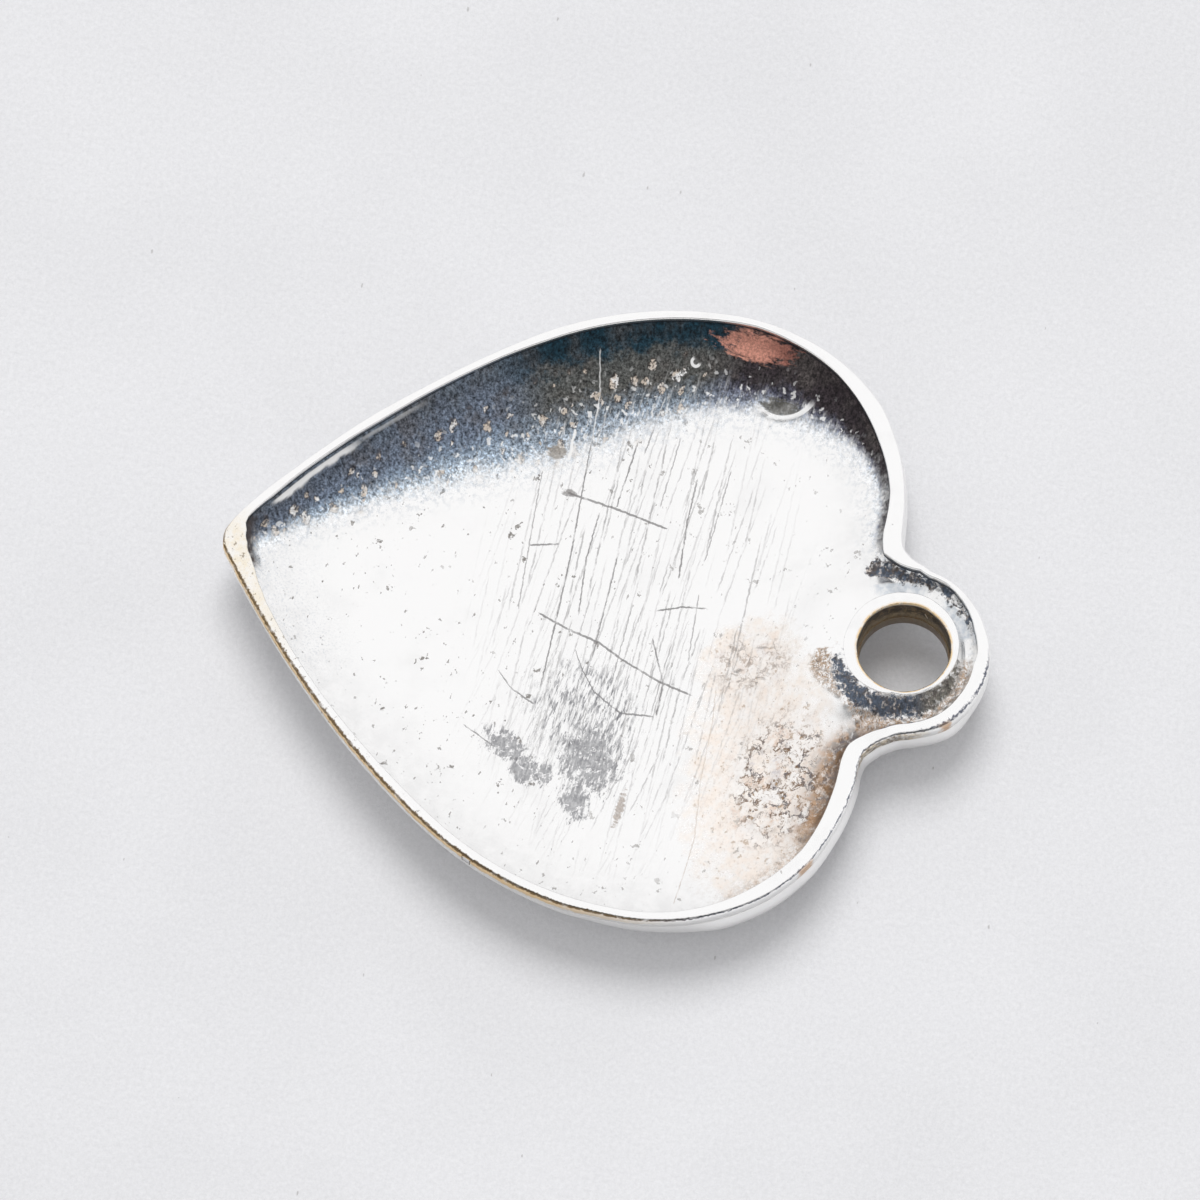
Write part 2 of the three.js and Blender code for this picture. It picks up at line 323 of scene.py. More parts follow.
def trails(points, cuts, axis):
    """For cuts that run side by side: a value that passes a whole number at each cut and rises
    by 1 a millimetre beside it, and how strong the nearest cut is there."""
    along, across = points[:, axis], points[:, 1 - axis]
    spots = np.stack([np.interp(along, *zip(*places)) for _, _, places in cuts])
    marks = np.repeat(spots, 2, 0) + np.tile([[-0.15], [0.15]], (len(cuts), 1))
    marks = np.maximum.accumulate(marks, 0)
    phase = np.full(len(points), -0.15)
    for low, high, rise in zip(marks, marks[1:], [0.3, 0.7] * len(cuts)):
        phase += rise * np.clip((across - low) / np.maximum(high - low, 1e-4), 0, 1)
    strength = np.stack([power * np.max([ease(along, start, start + 0.15) * (
        1 - ease(along, end - 0.15, end)) for start, end in spans], 0)
        for power, spans, _ in cuts])
    nearest = np.abs(spots - across).argmin(0)
    strength = strength[nearest, np.arange(len(points))]
    return phase, strength * (np.abs(spots - across).min(0) < 0.3)


# Patches on the back: middle, reach and turn of their ovals.
PATCHES = {
    "film": (((4.7, 5.9), (4.4, 2.2), 0.15), ((0.8, 4.9), (1.6, 1.5), 0.0)),
    "stain": (((4.6, 8.2), (2.3, 1.5), -0.55),),
    "crust": (((0.7, 4.9), (0.95, 1.2), 0.0), ((4.6, 6.5), (2.1, 1.5), 0.0)),
    "field": (((-0.6, 0.9), (7.6, 4.3), 0.0),),
    "centre": (((1.2, 0.6), (4.6, 3.0), 0.0),),
    "tip_wall": (((1.3, -9.6), (2.2, 2.6), -0.9),),
    "rubbed": (((4.75, 0.35), (1.05, 0.85), 0.3), ((6.3, 0.15), (0.6, 0.42), 0.2),
               ((4.75, -2.4), (0.42, 0.72), -0.5), ((5.5, -1.65), (0.5, 0.42), 0.0),
               ((5.5, -1.0), (0.36, 0.25), 0.0)),
    "streaky": (((3.2, -0.1), (1.7, 1.6), 0.1),),
    "spots": (((-9.84, 3.2), (0.36, 1.15), -0.1), ((-8.15, 4.2), (0.3, 0.62), 0.0),
              ((-5.5, -2.62), (0.22, 0.30), 0.0), ((6.3, 1.6), (0.6, 0.12), -0.1),
              ((-4.22, -1.93), (0.13, 0.22), 0.0)),
}


def patch_depth(points, ovals):
    """1 in the middle of the nearest oval, 0 on its edge and less outside."""
    deepest = np.full(len(points), -3.0)
    for centre, reach, turn in ovals:
        c, s = math.cos(turn), math.sin(turn)
        offset = points - np.array(centre)
        across = (offset[:, 0] * c + offset[:, 1] * s) / reach[0]
        along = (-offset[:, 0] * s + offset[:, 1] * c) / reach[1]
        deepest = np.maximum(deepest, 1 - np.hypot(across, along))
    return deepest


def back_height(points):
    """The hollow back: the dish, the shelf below the rim, and the level seat of the loop that
    slopes down into the dish."""
    wall = from_inner(points)
    dish = np.maximum(0, 1 - wall / DISH_REACH)**DISH_STEEPNESS
    beyond = np.hypot(*(points - LOOP).T) - COLLAR_RADIUS
    seat = (1 + np.cos(math.pi * np.clip((beyond - SEAT_MARGIN) / SEAT_SLOPE, 0, 1))) / 2
    height = FLOOR_THICKNESS + (RIM_FOOT - FLOOR_THICKNESS) * (dish + seat - dish * seat)
    # The shelf is level with the foot of the rim's worn inner corner.
    in_loop = ease(points[:, 1], 7.4, 8.4)
    turn = clock(points)
    broad = ease(turn, 4, 9) * (1 - ease(turn, 26, 34))
    left = ease(turn, -6, 4) * (1 - ease(turn, 148, 160))
    height += SHELF_RISE * left * (1 - in_loop) * (1 - ease(wall, 0.10 + 0.12 * broad,
                                                     0.36 + 0.14 * broad))
    # A soft slope up to the collar, wide towards the heart.
    offset = points - BORE
    beyond = np.hypot(*offset.T) - BORE_RADIUS - 0.08
    ray = offset / np.maximum(np.hypot(*offset.T), 1e-6)[:, None]
    heartward = ease(-ray[:, 1], 0.0, 0.9)
    rightward = ease(ray[:, 0], -0.3, 0.8)
    spread = 0.42 + 0.20 * rightward + 2.2 * heartward
    rise = COLLAR_SLOPE_RISE * (1 - ease(beyond, 0.0, spread))
    height = np.maximum(height, np.minimum(height + rise, PENDANT_HEIGHT - 0.022))
    # The rim's own fillet in the loop.
    height += 0.22 * in_loop * np.exp(-np.maximum(wall, 0) / 0.12)
    return height, wall


def back_relief(points, wall):
    """The small unevenness of the back, in millimetres."""
    relief = 0.010 * ripple(points, 2.6, 3.0, 2)
    shade = ease(tarnish_and_reflection_reach(points) - wall, -0.2, 0.4)
    relief += 0.008 * shade * ripple(points, 0.22, 11.0, 2)
    crust = (blot(points, (0.9, 5.1), (1.25, 1.5)) + blot(points, (4.4, 6.1), (1.7, 1.4))
             + 0.7 * blot(points, (5.9, 6.9), (1.6, 1.4)))
    crust = np.clip(crust, 0, 1)
    relief += crust * (0.14 * pebbles(points, 0.62, 5.0) + 0.06 * pebbles(points, 0.3, 9.0))
    folds = np.abs(ripple(points, 0.9, 61.0, 3))
    relief += crust * 0.07 * np.exp(-(folds / 0.07)**2)
    # A ring-shaped lump in the crust.
    ring = np.hypot(*(points - np.array([6.1, 6.35])).T)
    relief += 0.12 * np.exp(-((ring - 0.34) / 0.12)**2)
    # Lumps in the stains of the groove round the collar.
    tan = ease(stain_depth(points, TAN_STAIN), -0.1, 0.12)
    dark = ease(stain_depth(points, DARK_STAIN_AND_REFLECTION), -0.1, 0.1)
    relief += (0.07 * tan + 0.05 * dark) * pebbles(points, 0.3, 2.0)
    relief += 0.02 * ease(stain_depth(points, NAVY_STAIN_AND_REFLECTION), -0.1, 0.1) * ripple(points, 0.3, 6.0, 2)
    # Two dents in the left side, each with a raised lip below it.
    smile = np.hypot(points[:, 0] + 8.96, points[:, 1] - 4.25)
    relief -= 0.06 * blot(points, (-8.35, 4.2), (0.45, 0.85))
    relief += 0.07 * np.exp(-((smile - 1.13) / 0.07)**2) * blot(
        points, (-7.9, 4.2), (0.6, 1.3))
    relief -= 0.06 * blot(points, (-5.6, -2.6), (0.4, 0.45))
    relief += 0.06 * np.exp(-((points[:, 1] + 2.08 - 0.05 * (points[:, 0] + 5.8)) / 0.06)**2) * \
        blot(points, (-5.85, -2.1), (0.75, 0.5))
    return relief


def ledge_highlight_share(points, wall):
    """1 where a painted highlight lies on the shelf between the rim and the dark tarnish on the
    left side.
    """
    turn = clock(points) + 1.0 * ripple(points, 0.5, 51.0)
    low = 0.07 + 0.02 * ripple(points, 0.4, 53.0)
    end = 0.25 + 0.09 * ripple(points, 0.35, 55.0, 2)
    first = ease(turn, 8, 9.5) * (1 - ease(turn, 24, 29)) * (1 - ease(wall, end - 0.06, end + 0.02))
    faint = 0.4 * ease(turn, 27, 30) * (1 - ease(turn, 38, 46)) * (1 - ease(wall, 0.14, 0.20))
    return np.maximum(first, faint) * ease(wall, low, low + 0.03)


def deselect_all():
    if bpy.context.object and bpy.context.object.mode != "OBJECT":
        bpy.ops.object.mode_set(mode="OBJECT")
    bpy.ops.object.select_all(action="DESELECT")


def rolled_sheet(name, rings, closed=False):
    """A grid bent round into rings of points, in millimetres, with its seam sewn up. A closed
    sheet goes on from its last ring to its first."""
    rings = np.concatenate([rings, rings[:, :1]], axis=1)
    if closed:
        rings = np.concatenate([rings, rings[:1]], axis=0)
    deselect_all()
    bpy.ops.mesh.primitive_grid_add(
        x_subdivisions=rings.shape[1] - 1, y_subdivisions=rings.shape[0] - 1, size=1,
        location=(0, 0, 0))
    piece = bpy.context.object
    piece.name = piece.data.name = name
    piece.data.vertices.foreach_set("co", (rings * MM).ravel())
    piece.data.update()
    bpy.ops.object.mode_set(mode="EDIT")
    bpy.ops.mesh.select_all(action="SELECT")
    bpy.ops.mesh.remove_doubles(threshold=1e-7)
    bpy.ops.mesh.normals_make_consistent(inside=False)
    bpy.ops.object.mode_set(mode="OBJECT")
    return piece


def smooth(piece, degrees):
    deselect_all()
    piece.select_set(True)
    bpy.context.view_layer.objects.active = piece
    bpy.ops.object.shade_smooth_by_angle(angle=math.radians(degrees))


def points_of(piece):
    """The piece's points in millimetres."""
    points = np.empty(len(piece.data.vertices) * 3)
    piece.data.vertices.foreach_get("co", points)
    return points.reshape(-1, 3) / MM


def stamp(piece, name, values):
    """Keeps a number for each point of the piece, for its material to read."""
    layer = piece.data.attributes.new(name, "FLOAT", "POINT")
    layer.data.foreach_set("value", np.asarray(values, np.float32))


def turned(name, profile, around, centre):
    """A piece turned round the bore's axis, from [radius, height] points."""
    turn = np.arange(around) * 2 * math.pi / around
    rings = np.array([[(centre[0] + r * math.cos(a), centre[1] + r * math.sin(a), z)
                       for a in turn] for r, z in profile])
    return rolled_sheet(name, rings)


def finish_piece(piece, node, material):
    piece.data.materials.clear()
    piece.data.materials.append(material)
    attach(piece, "root")
    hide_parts(node)


class Bench:
    """Sets nodes out in one tree and joins them up."""

    def __init__(self, tree):
        self.tree = tree
        self.column = 0

    def feed(self, socket, value):
        """Links a value from another node, or sets a constant. A colour needs no alpha."""
        if isinstance(value, bpy.types.NodeSocket):
            self.tree.links.new(value, socket)
        else:
            socket.default_value = (*value, 1) if socket.type == "RGBA" else value

    def place(self, kind):
        """A new node, set out in rows."""
        node = self.tree.nodes.new(kind)
        node.location = (self.column % 24 * 180, -(self.column // 24) * 260)
        self.column += 1
        return node

    def node(self, kind, *values, **settings):
        """A node with its first inputs fed in order, and its settings made."""
        node = self.place(kind)
        for key, value in settings.items():
            setattr(node, key, value)
        for socket, value in zip(node.inputs, values):
            self.feed(socket, value)
        return node

    def sum(self, operation, *values, clamp=False):
        return self.node("ShaderNodeMath", *values, operation=operation,
                         use_clamp=clamp).outputs[0]

    def times(self, *values):
        return self.sum("MULTIPLY", *values)

    def apart(self, first, second):
        return self.sum("ABSOLUTE", self.sum("SUBTRACT", first, second))

    def vector(self, operation, *values, out=0):
        return self.node("ShaderNodeVectorMath", *values, operation=operation).outputs[out]

    def moved(self, place, x, y):
        return self.vector("ADD", place, (x, y, 0))

    def spun(self, place, degrees, stretch, shift=(0, 0, 0)):
        """Places turned so that the given direction lies along X, then stretched."""
        node = self.node("ShaderNodeVectorRotate", self.vector("ADD", place, shift),
                         rotation_type="Z_AXIS")
        self.feed(node.inputs["Angle"], -math.radians(degrees))
        return self.vector("MULTIPLY", node.outputs[0], stretch)

    def shade(self, colour, factor):
        node = self.node("ShaderNodeVectorMath", colour, operation="SCALE")
        self.feed(node.inputs["Scale"], factor)
        return node.outputs[0]

    def rise(self, value, low, high, bottom=0.0, top=1.0):
        """Goes smoothly from bottom at low to top at high."""
        return self.node("ShaderNodeMapRange", value, low, high, bottom, top,
                         interpolation_type="SMOOTHSTEP").outputs[0]

    def noise(self, place, scale, detail=2.0, roughness=0.5, out=0):
        node = self.node("ShaderNodeTexNoise")
        for name, value in (("Vector", place), ("Scale", scale), ("Detail", detail),
                            ("Roughness", roughness)):
            self.feed(node.inputs[name], value)
        return node.outputs[out]

    def cells(self, place, scale, feature="F1"):
        node = self.node("ShaderNodeTexVoronoi", feature=feature, voronoi_dimensions="2D")
        self.feed(node.inputs["Vector"], place)
        self.feed(node.inputs["Scale"], scale)
        return node.outputs

    def cover(self, share, under, over):
        """Lays one colour over another by a share from 0 to 1."""
        node = self.node("ShaderNodeMix", data_type="RGBA")
        self.feed(node.inputs[0], share)
        self.feed(node.inputs[6], under)
        self.feed(node.inputs[7], over)
        return node.outputs[2]

    def between(self, share, low, high):
        node = self.node("ShaderNodeMix", data_type="FLOAT")
        for socket, value in zip((node.inputs[0], node.inputs[2], node.inputs[3]),
                                 (share, low, high)):
            self.feed(socket, value)
        return node.outputs[0]

    def ramp(self, value, stops):
        node = self.node("ShaderNodeValToRGB", value)
        marks = node.color_ramp.elements
        while len(marks) < len(stops):
            marks.new(1.0)
        for mark, (place, colour) in zip(marks, stops):
            mark.position = place
            mark.color = (*colour, 1)
        return node.outputs[0]

    def layer(self, name):
        return self.node("ShaderNodeAttribute", attribute_name=name).outputs["Fac"]

    def group(self, name, **values):
        """A shared effect's mask, with its named inputs fed."""
        node = self.place("ShaderNodeGroup")
        node.node_tree = bpy.data.node_groups[name]
        for key, value in values.items():
            self.feed(node.inputs[key.capitalize()], value)
        return node.outputs[0]

    def most(self, *masks):
        """The highest of the masks."""
        top = masks[0]
        for mask in masks[1:]:
            top = self.sum("MAXIMUM", top, mask)
        return top

    def emboss(self, shader, strength, distance, height):
        """Bumps the shader's surface by a height, whose full range is the distance."""
        bump = self.node("ShaderNodeBump")
        for name, value in (("Strength", strength), ("Distance", distance), ("Height", height)):
            self.feed(bump.inputs[name], value)
        self.feed(shader.inputs["Normal"], bump.outputs[0])


def effect(name, **inputs):
    """A new node group with named inputs and one mask, and the bench to build it with."""
    tree = bpy.data.node_groups.new(name, "ShaderNodeTree")
    kinds = {float: "NodeSocketFloat", tuple: "NodeSocketVector"}
    for label, default in inputs.items():
        socket = tree.interface.new_socket(label.capitalize(), in_out="INPUT",
                                           socket_type=kinds[type(default)])
        socket.default_value = default
    tree.interface.new_socket("Mask", in_out="OUTPUT", socket_type="NodeSocketFloat")
    entry = tree.nodes.new("NodeGroupInput").outputs[:len(inputs)]
    result = tree.nodes.new("NodeGroupOutput").inputs[0]
    return Bench(tree), entry, result


ANYWHERE = (0, 0, 0)


def make_scratch():
    """A cut along a straight line. It is as ragged as the places that it is given."""
    b, (place, start, end, width), mask = effect(
        "Scratch", place=ANYWHERE, start=ANYWHERE, end=(1, 0, 0), width=0.05)
    way = b.vector("SUBTRACT", end, start)
    offset = b.vector("SUBTRACT", place, start)
    along = b.sum("DIVIDE", b.vector("DOT_PRODUCT", offset, way, out=1),
                  b.vector("DOT_PRODUCT", way, way, out=1), clamp=True)
    nearest = b.vector("SUBTRACT", offset, b.vector("MULTIPLY", way, b.node(
        "ShaderNodeCombineXYZ", along, along, along).outputs[0]))
    apart = b.vector("LENGTH", nearest, out=1)
    b.feed(mask, b.rise(b.sum("DIVIDE", apart, width), 0.3, 0.7, 1.0, 0.0))


def make_patch():
    """An uneven oval patch."""
    b, (place, middle, reach, turn, ragged, grain, softness), mask = effect(
        "Patch", place=ANYWHERE, middle=ANYWHERE, reach=(1, 1, 1), turn=0.0, ragged=0.3,
        grain=2.0, softness=0.2)
    offset = b.vector("MULTIPLY", b.vector("SUBTRACT", place, middle), (1, 1, 0))
    turned_offset = b.node("ShaderNodeVectorRotate", offset, rotation_type="Z_AXIS")
    b.feed(turned_offset.inputs["Angle"], turn)
    length = b.vector("LENGTH", b.vector("DIVIDE", turned_offset.outputs[0], reach), out=1)
    uneven = b.times(b.sum("SUBTRACT", b.noise(place, grain, 4.0, 0.65), 0.5), ragged)
    length = b.sum("MULTIPLY_ADD", uneven, 2.0, length)
    low = b.sum("SUBTRACT", 1.0, softness)
    high = b.sum("ADD", 1.0, softness)
    b.feed(mask, b.rise(length, low, high, 1.0, 0.0))


def make_pits():
    """Small dark specks of uneven size, each cell of the pattern with its own chance of one."""
    b, (place, spacing, size, share, stretch), mask = effect(
        "Pits", place=ANYWHERE, spacing=0.6, size=0.1, share=0.4, stretch=1.0)
    drift = b.vector("SUBTRACT", b.noise(place, 7.0, 2.0, 0.6, out=1), (0.5, 0.5, 0.5))
    scaled = b.vector("MULTIPLY", place,
                      b.node("ShaderNodeCombineXYZ", 1.0, stretch, 0.0).outputs[0])
    warped = b.vector("MULTIPLY_ADD", drift, (0.16, 0.16, 0.0), scaled)
    cell = b.cells(warped, b.sum("DIVIDE", 1.0, spacing))
    own = b.node("ShaderNodeSeparateColor", cell["Color"]).outputs
    chosen = b.sum("LESS_THAN", own[0], share)
    reach = b.times(b.sum("MULTIPLY_ADD", own[1], 0.9, 0.35), b.sum("DIVIDE", size, spacing))
    spot = b.rise(b.sum("DIVIDE", cell["Distance"], reach), 0.35, 1.0, 1.0, 0.0)
    b.feed(mask, b.times(spot, chosen))


def make_fine_lines():
    """Many fine straight cuts that run one way, each with its own length and strength."""
    b, (place, turn, spacing, length, width, share), mask = effect(
        "Fine Lines", place=ANYWHERE, turn=0.0, spacing=0.3, length=4.0, width=0.03, share=0.6)
    spun = b.node("ShaderNodeVectorRotate", place, rotation_type="Z_AXIS")
    b.feed(spun.inputs["Angle"], turn)
    stretch = b.node("ShaderNodeCombineXYZ", length, spacing, 1.0).outputs[0]
    spread = b.vector("DIVIDE", spun.outputs[0], stretch)
    cell = b.cells(spread, 1.0)
    own = b.node("ShaderNodeSeparateColor", cell["Color"]).outputs
    offset = b.node("ShaderNodeSeparateXYZ",
                    b.vector("SUBTRACT", spread, cell["Position"])).outputs
    across = b.sum("DIVIDE", b.times(b.sum("ABSOLUTE", offset[1]), spacing), width)
    line = b.rise(across, 0.3, 0.8, 1.0, 0.0)
    reach = b.sum("MULTIPLY_ADD", own[1], 0.45, 0.15)
    ends = b.rise(b.sum("DIVIDE", b.sum("ABSOLUTE", offset[0]), reach), 0.7, 1.0, 1.0, 0.0)
    chosen = b.times(b.sum("LESS_THAN", own[0], share), b.sum("MULTIPLY_ADD", own[2], 0.6, 0.4))
    b.feed(mask, b.times(b.times(line, ends), chosen))


def make_ring_stain():
    """A ragged stain that follows part of a circle."""
    b, (place, middle, radius, width, heading, spread, ragged), mask = effect(
        "Ring Stain", place=ANYWHERE, middle=ANYWHERE, radius=2.0, width=0.3, bearing=0.0,
        spread=1.0, ragged=0.3)
    offset = b.vector("SUBTRACT", place, middle)
    x, y, _ = b.node("ShaderNodeSeparateXYZ", offset).outputs
    away = b.vector("LENGTH", b.vector("MULTIPLY", offset, (1, 1, 0)), out=1)
    uneven = b.sum("SUBTRACT", b.noise(place, 4.5, 4.0, 0.65), 0.5)
    across = b.sum("DIVIDE", b.apart(away, radius), width)
    turn = b.sum("SUBTRACT", b.sum("ARCTAN2", y, x), heading)
    turn = b.sum("ARCTAN2", b.sum("SINE", turn), b.sum("COSINE", turn))
    round_it = b.sum("DIVIDE", b.sum("ABSOLUTE", turn), spread)
    far = b.sum("MAXIMUM", across, round_it)
    far = b.sum("ADD", far, b.times(uneven, b.times(ragged, 2.0)))
    b.feed(mask, b.rise(far, 0.75, 1.15, 1.0, 0.0))


def make_tarnish_and_reflection_edge():
    """A dark area of tarnish and painted dark reflection that ends in flecks. Reach is how far
    inside the area a place lies.
    """
    b, (place, reach, fleck, ragged, softness), mask = effect(
        "Tarnish And Reflection Edge", place=ANYWHERE, reach=0.0, fleck=4.0, ragged=0.8, softness=0.3)
    coarse = b.sum("SUBTRACT", b.noise(place, fleck, 6.0, 0.72), 0.5)
    fine = b.sum("SUBTRACT", b.noise(place, 6.5, 3.0, 0.75), 0.5)
    uneven = b.times(b.sum("MULTIPLY_ADD", fine, 0.7, coarse), ragged)
    inside = b.sum("ADD", reach, uneven)
    b.feed(mask, b.rise(inside, b.times(softness, -1.0), softness))


def make_grain():
    """A fine uneven grain, as a value round 0.5."""
    b, (place, size, contrast), mask = effect(
        "Plate Grain", place=ANYWHERE, size=0.08, contrast=1.0)
    fine = b.noise(place, b.sum("DIVIDE", 1.0, size), 2.0, 0.7)
    b.feed(mask, b.sum("MULTIPLY_ADD", b.sum("SUBTRACT", fine, 0.5), contrast, 0.5))


def make_effects():
    for make in (make_scratch, make_patch, make_pits, make_fine_lines, make_ring_stain,
                 make_tarnish_and_reflection_edge, make_grain):
        make()


def new_material(name):
    """A material with one shader, its bench, and places in millimetres on the object."""
    material = bpy.data.materials.new(name)
    material.use_nodes = True
    tree = material.node_tree
    tree.nodes.clear()
    b = Bench(tree)
    shader = b.node("ShaderNodeBsdfPrincipled")
    result = b.node("ShaderNodeOutputMaterial")
    tree.links.new(shader.outputs[0], result.inputs[0])
    spot = b.node("ShaderNodeTexCoord").outputs["Object"]
    place = b.vector("MULTIPLY", spot, (1000, 1000, 1000))
    return material, b, shader, place


def flat(x, y):
    return (x, y, 0.0)


class Coat:
    """A colour that others are laid over, one after another."""

    def __init__(self, bench, colour):
        self.bench, self.colour = bench, colour

    def lay(self, share, over):
        self.colour = self.bench.cover(share, self.colour, over)

    def shade(self, factor):
        self.colour = self.bench.shade(self.colour, factor)


# Colours of the tarnish and its painted dark reflection from the rim inwards, as shares of the way
# across it.
LEFT_BAND = (
    (0.0, (0.115, 0.14, 0.172)), (0.14, (0.10, 0.12, 0.155)), (0.40, (0.11, 0.135, 0.18)),
    (0.56, (0.17, 0.215, 0.275)), (0.68, (0.30, 0.36, 0.43)), (0.82, (0.52, 0.58, 0.64)),
    (1.0, (0.78, 0.82, 0.86)))
RIGHT_BAND = (
    (0.0, (0.010, 0.032, 0.048)), (0.13, (0.012, 0.034, 0.050)), (0.22, (0.068, 0.072, 0.070)),
    (0.44, (0.075, 0.075, 0.070)), (0.56, (0.11, 0.13, 0.15)), (0.68, (0.22, 0.265, 0.32)),
    (1.0, (0.74, 0.78, 0.82)))
LOBE_BAND = (
    (0.0, (0.024, 0.018, 0.020)), (0.45, (0.026, 0.021, 0.024)), (0.60, (0.07, 0.072, 0.10)),
    (0.74, (0.22, 0.25, 0.31)), (1.0, (0.74, 0.78, 0.82)))


class PanPaint:
    """The pan's finish, laid on in layers. A mask that a later layer needs is kept."""

    def __init__(self, b, place, colours):
        self.b, self.place, self.colours = b, place, colours
        self.wall = b.layer("wall")
        self.reach = b.layer("tarnish")
        self.band = b.layer("band")
        self.hollow = b.layer("hollow")
        self.level = b.vector("MULTIPLY", place, (1, 1, 0))
        self.x, self.y = b.node("ShaderNodeSeparateXYZ", place).outputs[:2]
        self.drift = b.vector("SUBTRACT", b.noise(place, 3.2, 3.0, 0.65, out=1), (0.5, 0.5, 0.5))
        self.shaken = b.vector("MULTIPLY_ADD", self.drift, (0.12, 0.12, 0.0), self.level)
        self.curled = b.vector("MULTIPLY_ADD", self.drift, (0.45, 0.45, 0.0), self.level)
        self.cloud = b.noise(self.level, 0.45, 4.0, 0.62)
        self.middling = b.noise(self.level, 1.7, 4.0, 0.65)
        self.blotch = b.noise(self.level, 5.0, 4.0, 0.7)
        self.fine = b.noise(place, 13.0, 3.0, 0.8)

    def patch(self, name, ragged, softness, grain=None):
        """A patch of the back with an uneven edge."""
        b = self.b
        depth = b.sum("MULTIPLY_ADD", b.sum("SUBTRACT", grain or self.middling, 0.5), ragged,
                      b.layer(name))
        return b.rise(depth, -softness, softness)

    def cut_lines(self, name, wobble):
        """The cuts that run one way."""
        b = self.b
        phase = b.sum("ADD", b.layer(name), wobble)
        strength = b.layer(name + "_strength")
        beside = b.apart(phase, b.sum("ROUND", phase))
        beside = b.sum("DIVIDE", beside, b.sum("MULTIPLY_ADD", strength, 0.05, 0.018))
        return b.times(b.rise(beside, 0.3, 0.75, 1.0, 0.0), b.rise(strength, 0.05, 0.5, 0.0, 1.0))

    def lay_plate(self):
        """Bright plate, greyer in soft patches, with painted shade greying it beside the rim, haze
        by the tip, and haze as a painted fringe of the dark reflection below the tarnish.
        """
        b, colours = self.b, self.colours
        self.coat = Coat(b, colours.silver)
        self.coat.lay(b.rise(self.cloud, 0.5, 0.8, 0.0, 0.3), colours.dull_silver)
        # Partly dull plate, partly painted shade: the plate greys in patches toward the rim.
        edge_dulling_and_shade = b.times(b.rise(self.wall, 0.1, 2.4, 1.0, 0.0),
                            b.rise(self.middling, 0.3, 0.7, 0.1, 0.5))
        self.coat.lay(edge_dulling_and_shade, colours.dull_silver)
        # Painted fringe of the dark reflection just past the tarnish, and haze by the tip.
        haze_and_reflection_fringe = b.times(b.rise(self.reach, -1.1, 0.1), b.rise(self.blotch, 0.47, 0.62))
        by_tip = b.times(self.patch("tip_wall", 0.6, 0.4), b.rise(self.wall, 0.9, 2.4, 1.0, 0.0))
        haze_and_reflection_fringe = b.most(haze_and_reflection_fringe, b.times(by_tip, b.rise(self.fine, 0.5, 0.66, 0.0, 0.6)))
        self.coat.lay(b.times(haze_and_reflection_fringe, 0.62), colours.haze)

    def lay_film(self):
        """A pinkish film on the right side, and thick stain on the wall by the loop."""
        b, colours = self.b, self.colours
        self.film = self.patch("film", 0.9, 0.3)
        self.film_share = b.times(self.film, b.rise(self.middling, 0.35, 0.65, 0.3, 0.9))
        self.coat.lay(self.film_share, colours.film)
        stain = b.times(self.patch("stain", 0.8, 0.35), b.rise(self.wall, 0.3, 1.35, 1.0, 0.0))
        self.stain = b.times(stain, b.rise(self.blotch, 0.32, 0.52, 0.35, 1.0))
        self.coat.lay(self.stain, b.cover(b.rise(self.middling, 0.45, 0.6), colours.stain,
                                          colours.grey_stain))
        deep_stain = b.times(self.stain, b.rise(self.wall, 0.1, 0.45, 1.0, 0.0))
        self.coat.lay(b.times(deep_stain, 0.8), colours.brown_tarnish)

    def lay_crust(self):
        """The crust: curled brown outlines on lumps, with painted shade grey in its hollows."""
        b, colours, coat = self.b, self.colours, self.coat
        crust = b.times(self.patch("crust", 1.3, 0.3), b.rise(self.x, 1.8, 3.4, 0.5, 1.0))
        # Painted shade: grey in the crust's hollows.
        crust_shade_share = b.times(crust, b.rise(b.noise(self.curled, 1.5, 3.0, 0.6), 0.5, 0.68))
        coat.lay(b.times(crust_shade_share, b.rise(self.blotch, 0.35, 0.6, 0.1, 0.6)),
                 colours.painted_crust_shade)
        orange = b.times(crust, b.rise(b.noise(self.level, 1.2, 3.0, 0.6), 0.5, 0.62))
        coat.lay(b.times(orange, b.rise(self.blotch, 0.4, 0.6, 0.1, 0.6)), colours.crust_orange)
        lump = b.noise(self.curled, 1.1, 4.0, 0.62)
        coat.lay(b.times(crust, b.rise(lump, 0.52, 0.58, 0.0, 0.75)), colours.crust_top)
        curls = b.times(b.rise(b.apart(lump, 0.52), 0.006, 0.03, 1.0, 0.0),
                        b.rise(self.middling, 0.40, 0.48))
        bent = b.vector("MULTIPLY_ADD", self.drift, (1.1, 1.1, 0.0), self.level)
        to_edge = b.cells(bent, 1.7, "DISTANCE_TO_EDGE")["Distance"]
        flakes = b.times(b.rise(to_edge, 0.012, 0.055, 1.0, 0.0), b.rise(self.blotch, 0.52, 0.46))
        curls = b.times(b.most(curls, flakes), b.most(crust, self.stain))
        curl_colour = b.cover(b.rise(self.middling, 0.46, 0.60), colours.curl, colours.grey_curl)
        coat.lay(b.times(curls, b.rise(self.blotch, 0.34, 0.48, 0.35, 1.0)), curl_colour)
        beads = b.times(b.most(crust, b.times(self.film, 0.6)),
                        b.rise(b.noise(b.moved(self.level, 8, 2), 3.4, 4.0, 0.68), 0.62, 0.65))
        coat.lay(b.times(beads, 0.85), colours.bead)
        brown_dust = b.times(b.most(crust, b.times(self.film, 0.7)),
                             b.rise(b.noise(self.level, 8.0, 4.0, 0.7), 0.53, 0.66))
        coat.lay(b.times(brown_dust, 0.3), colours.crust)

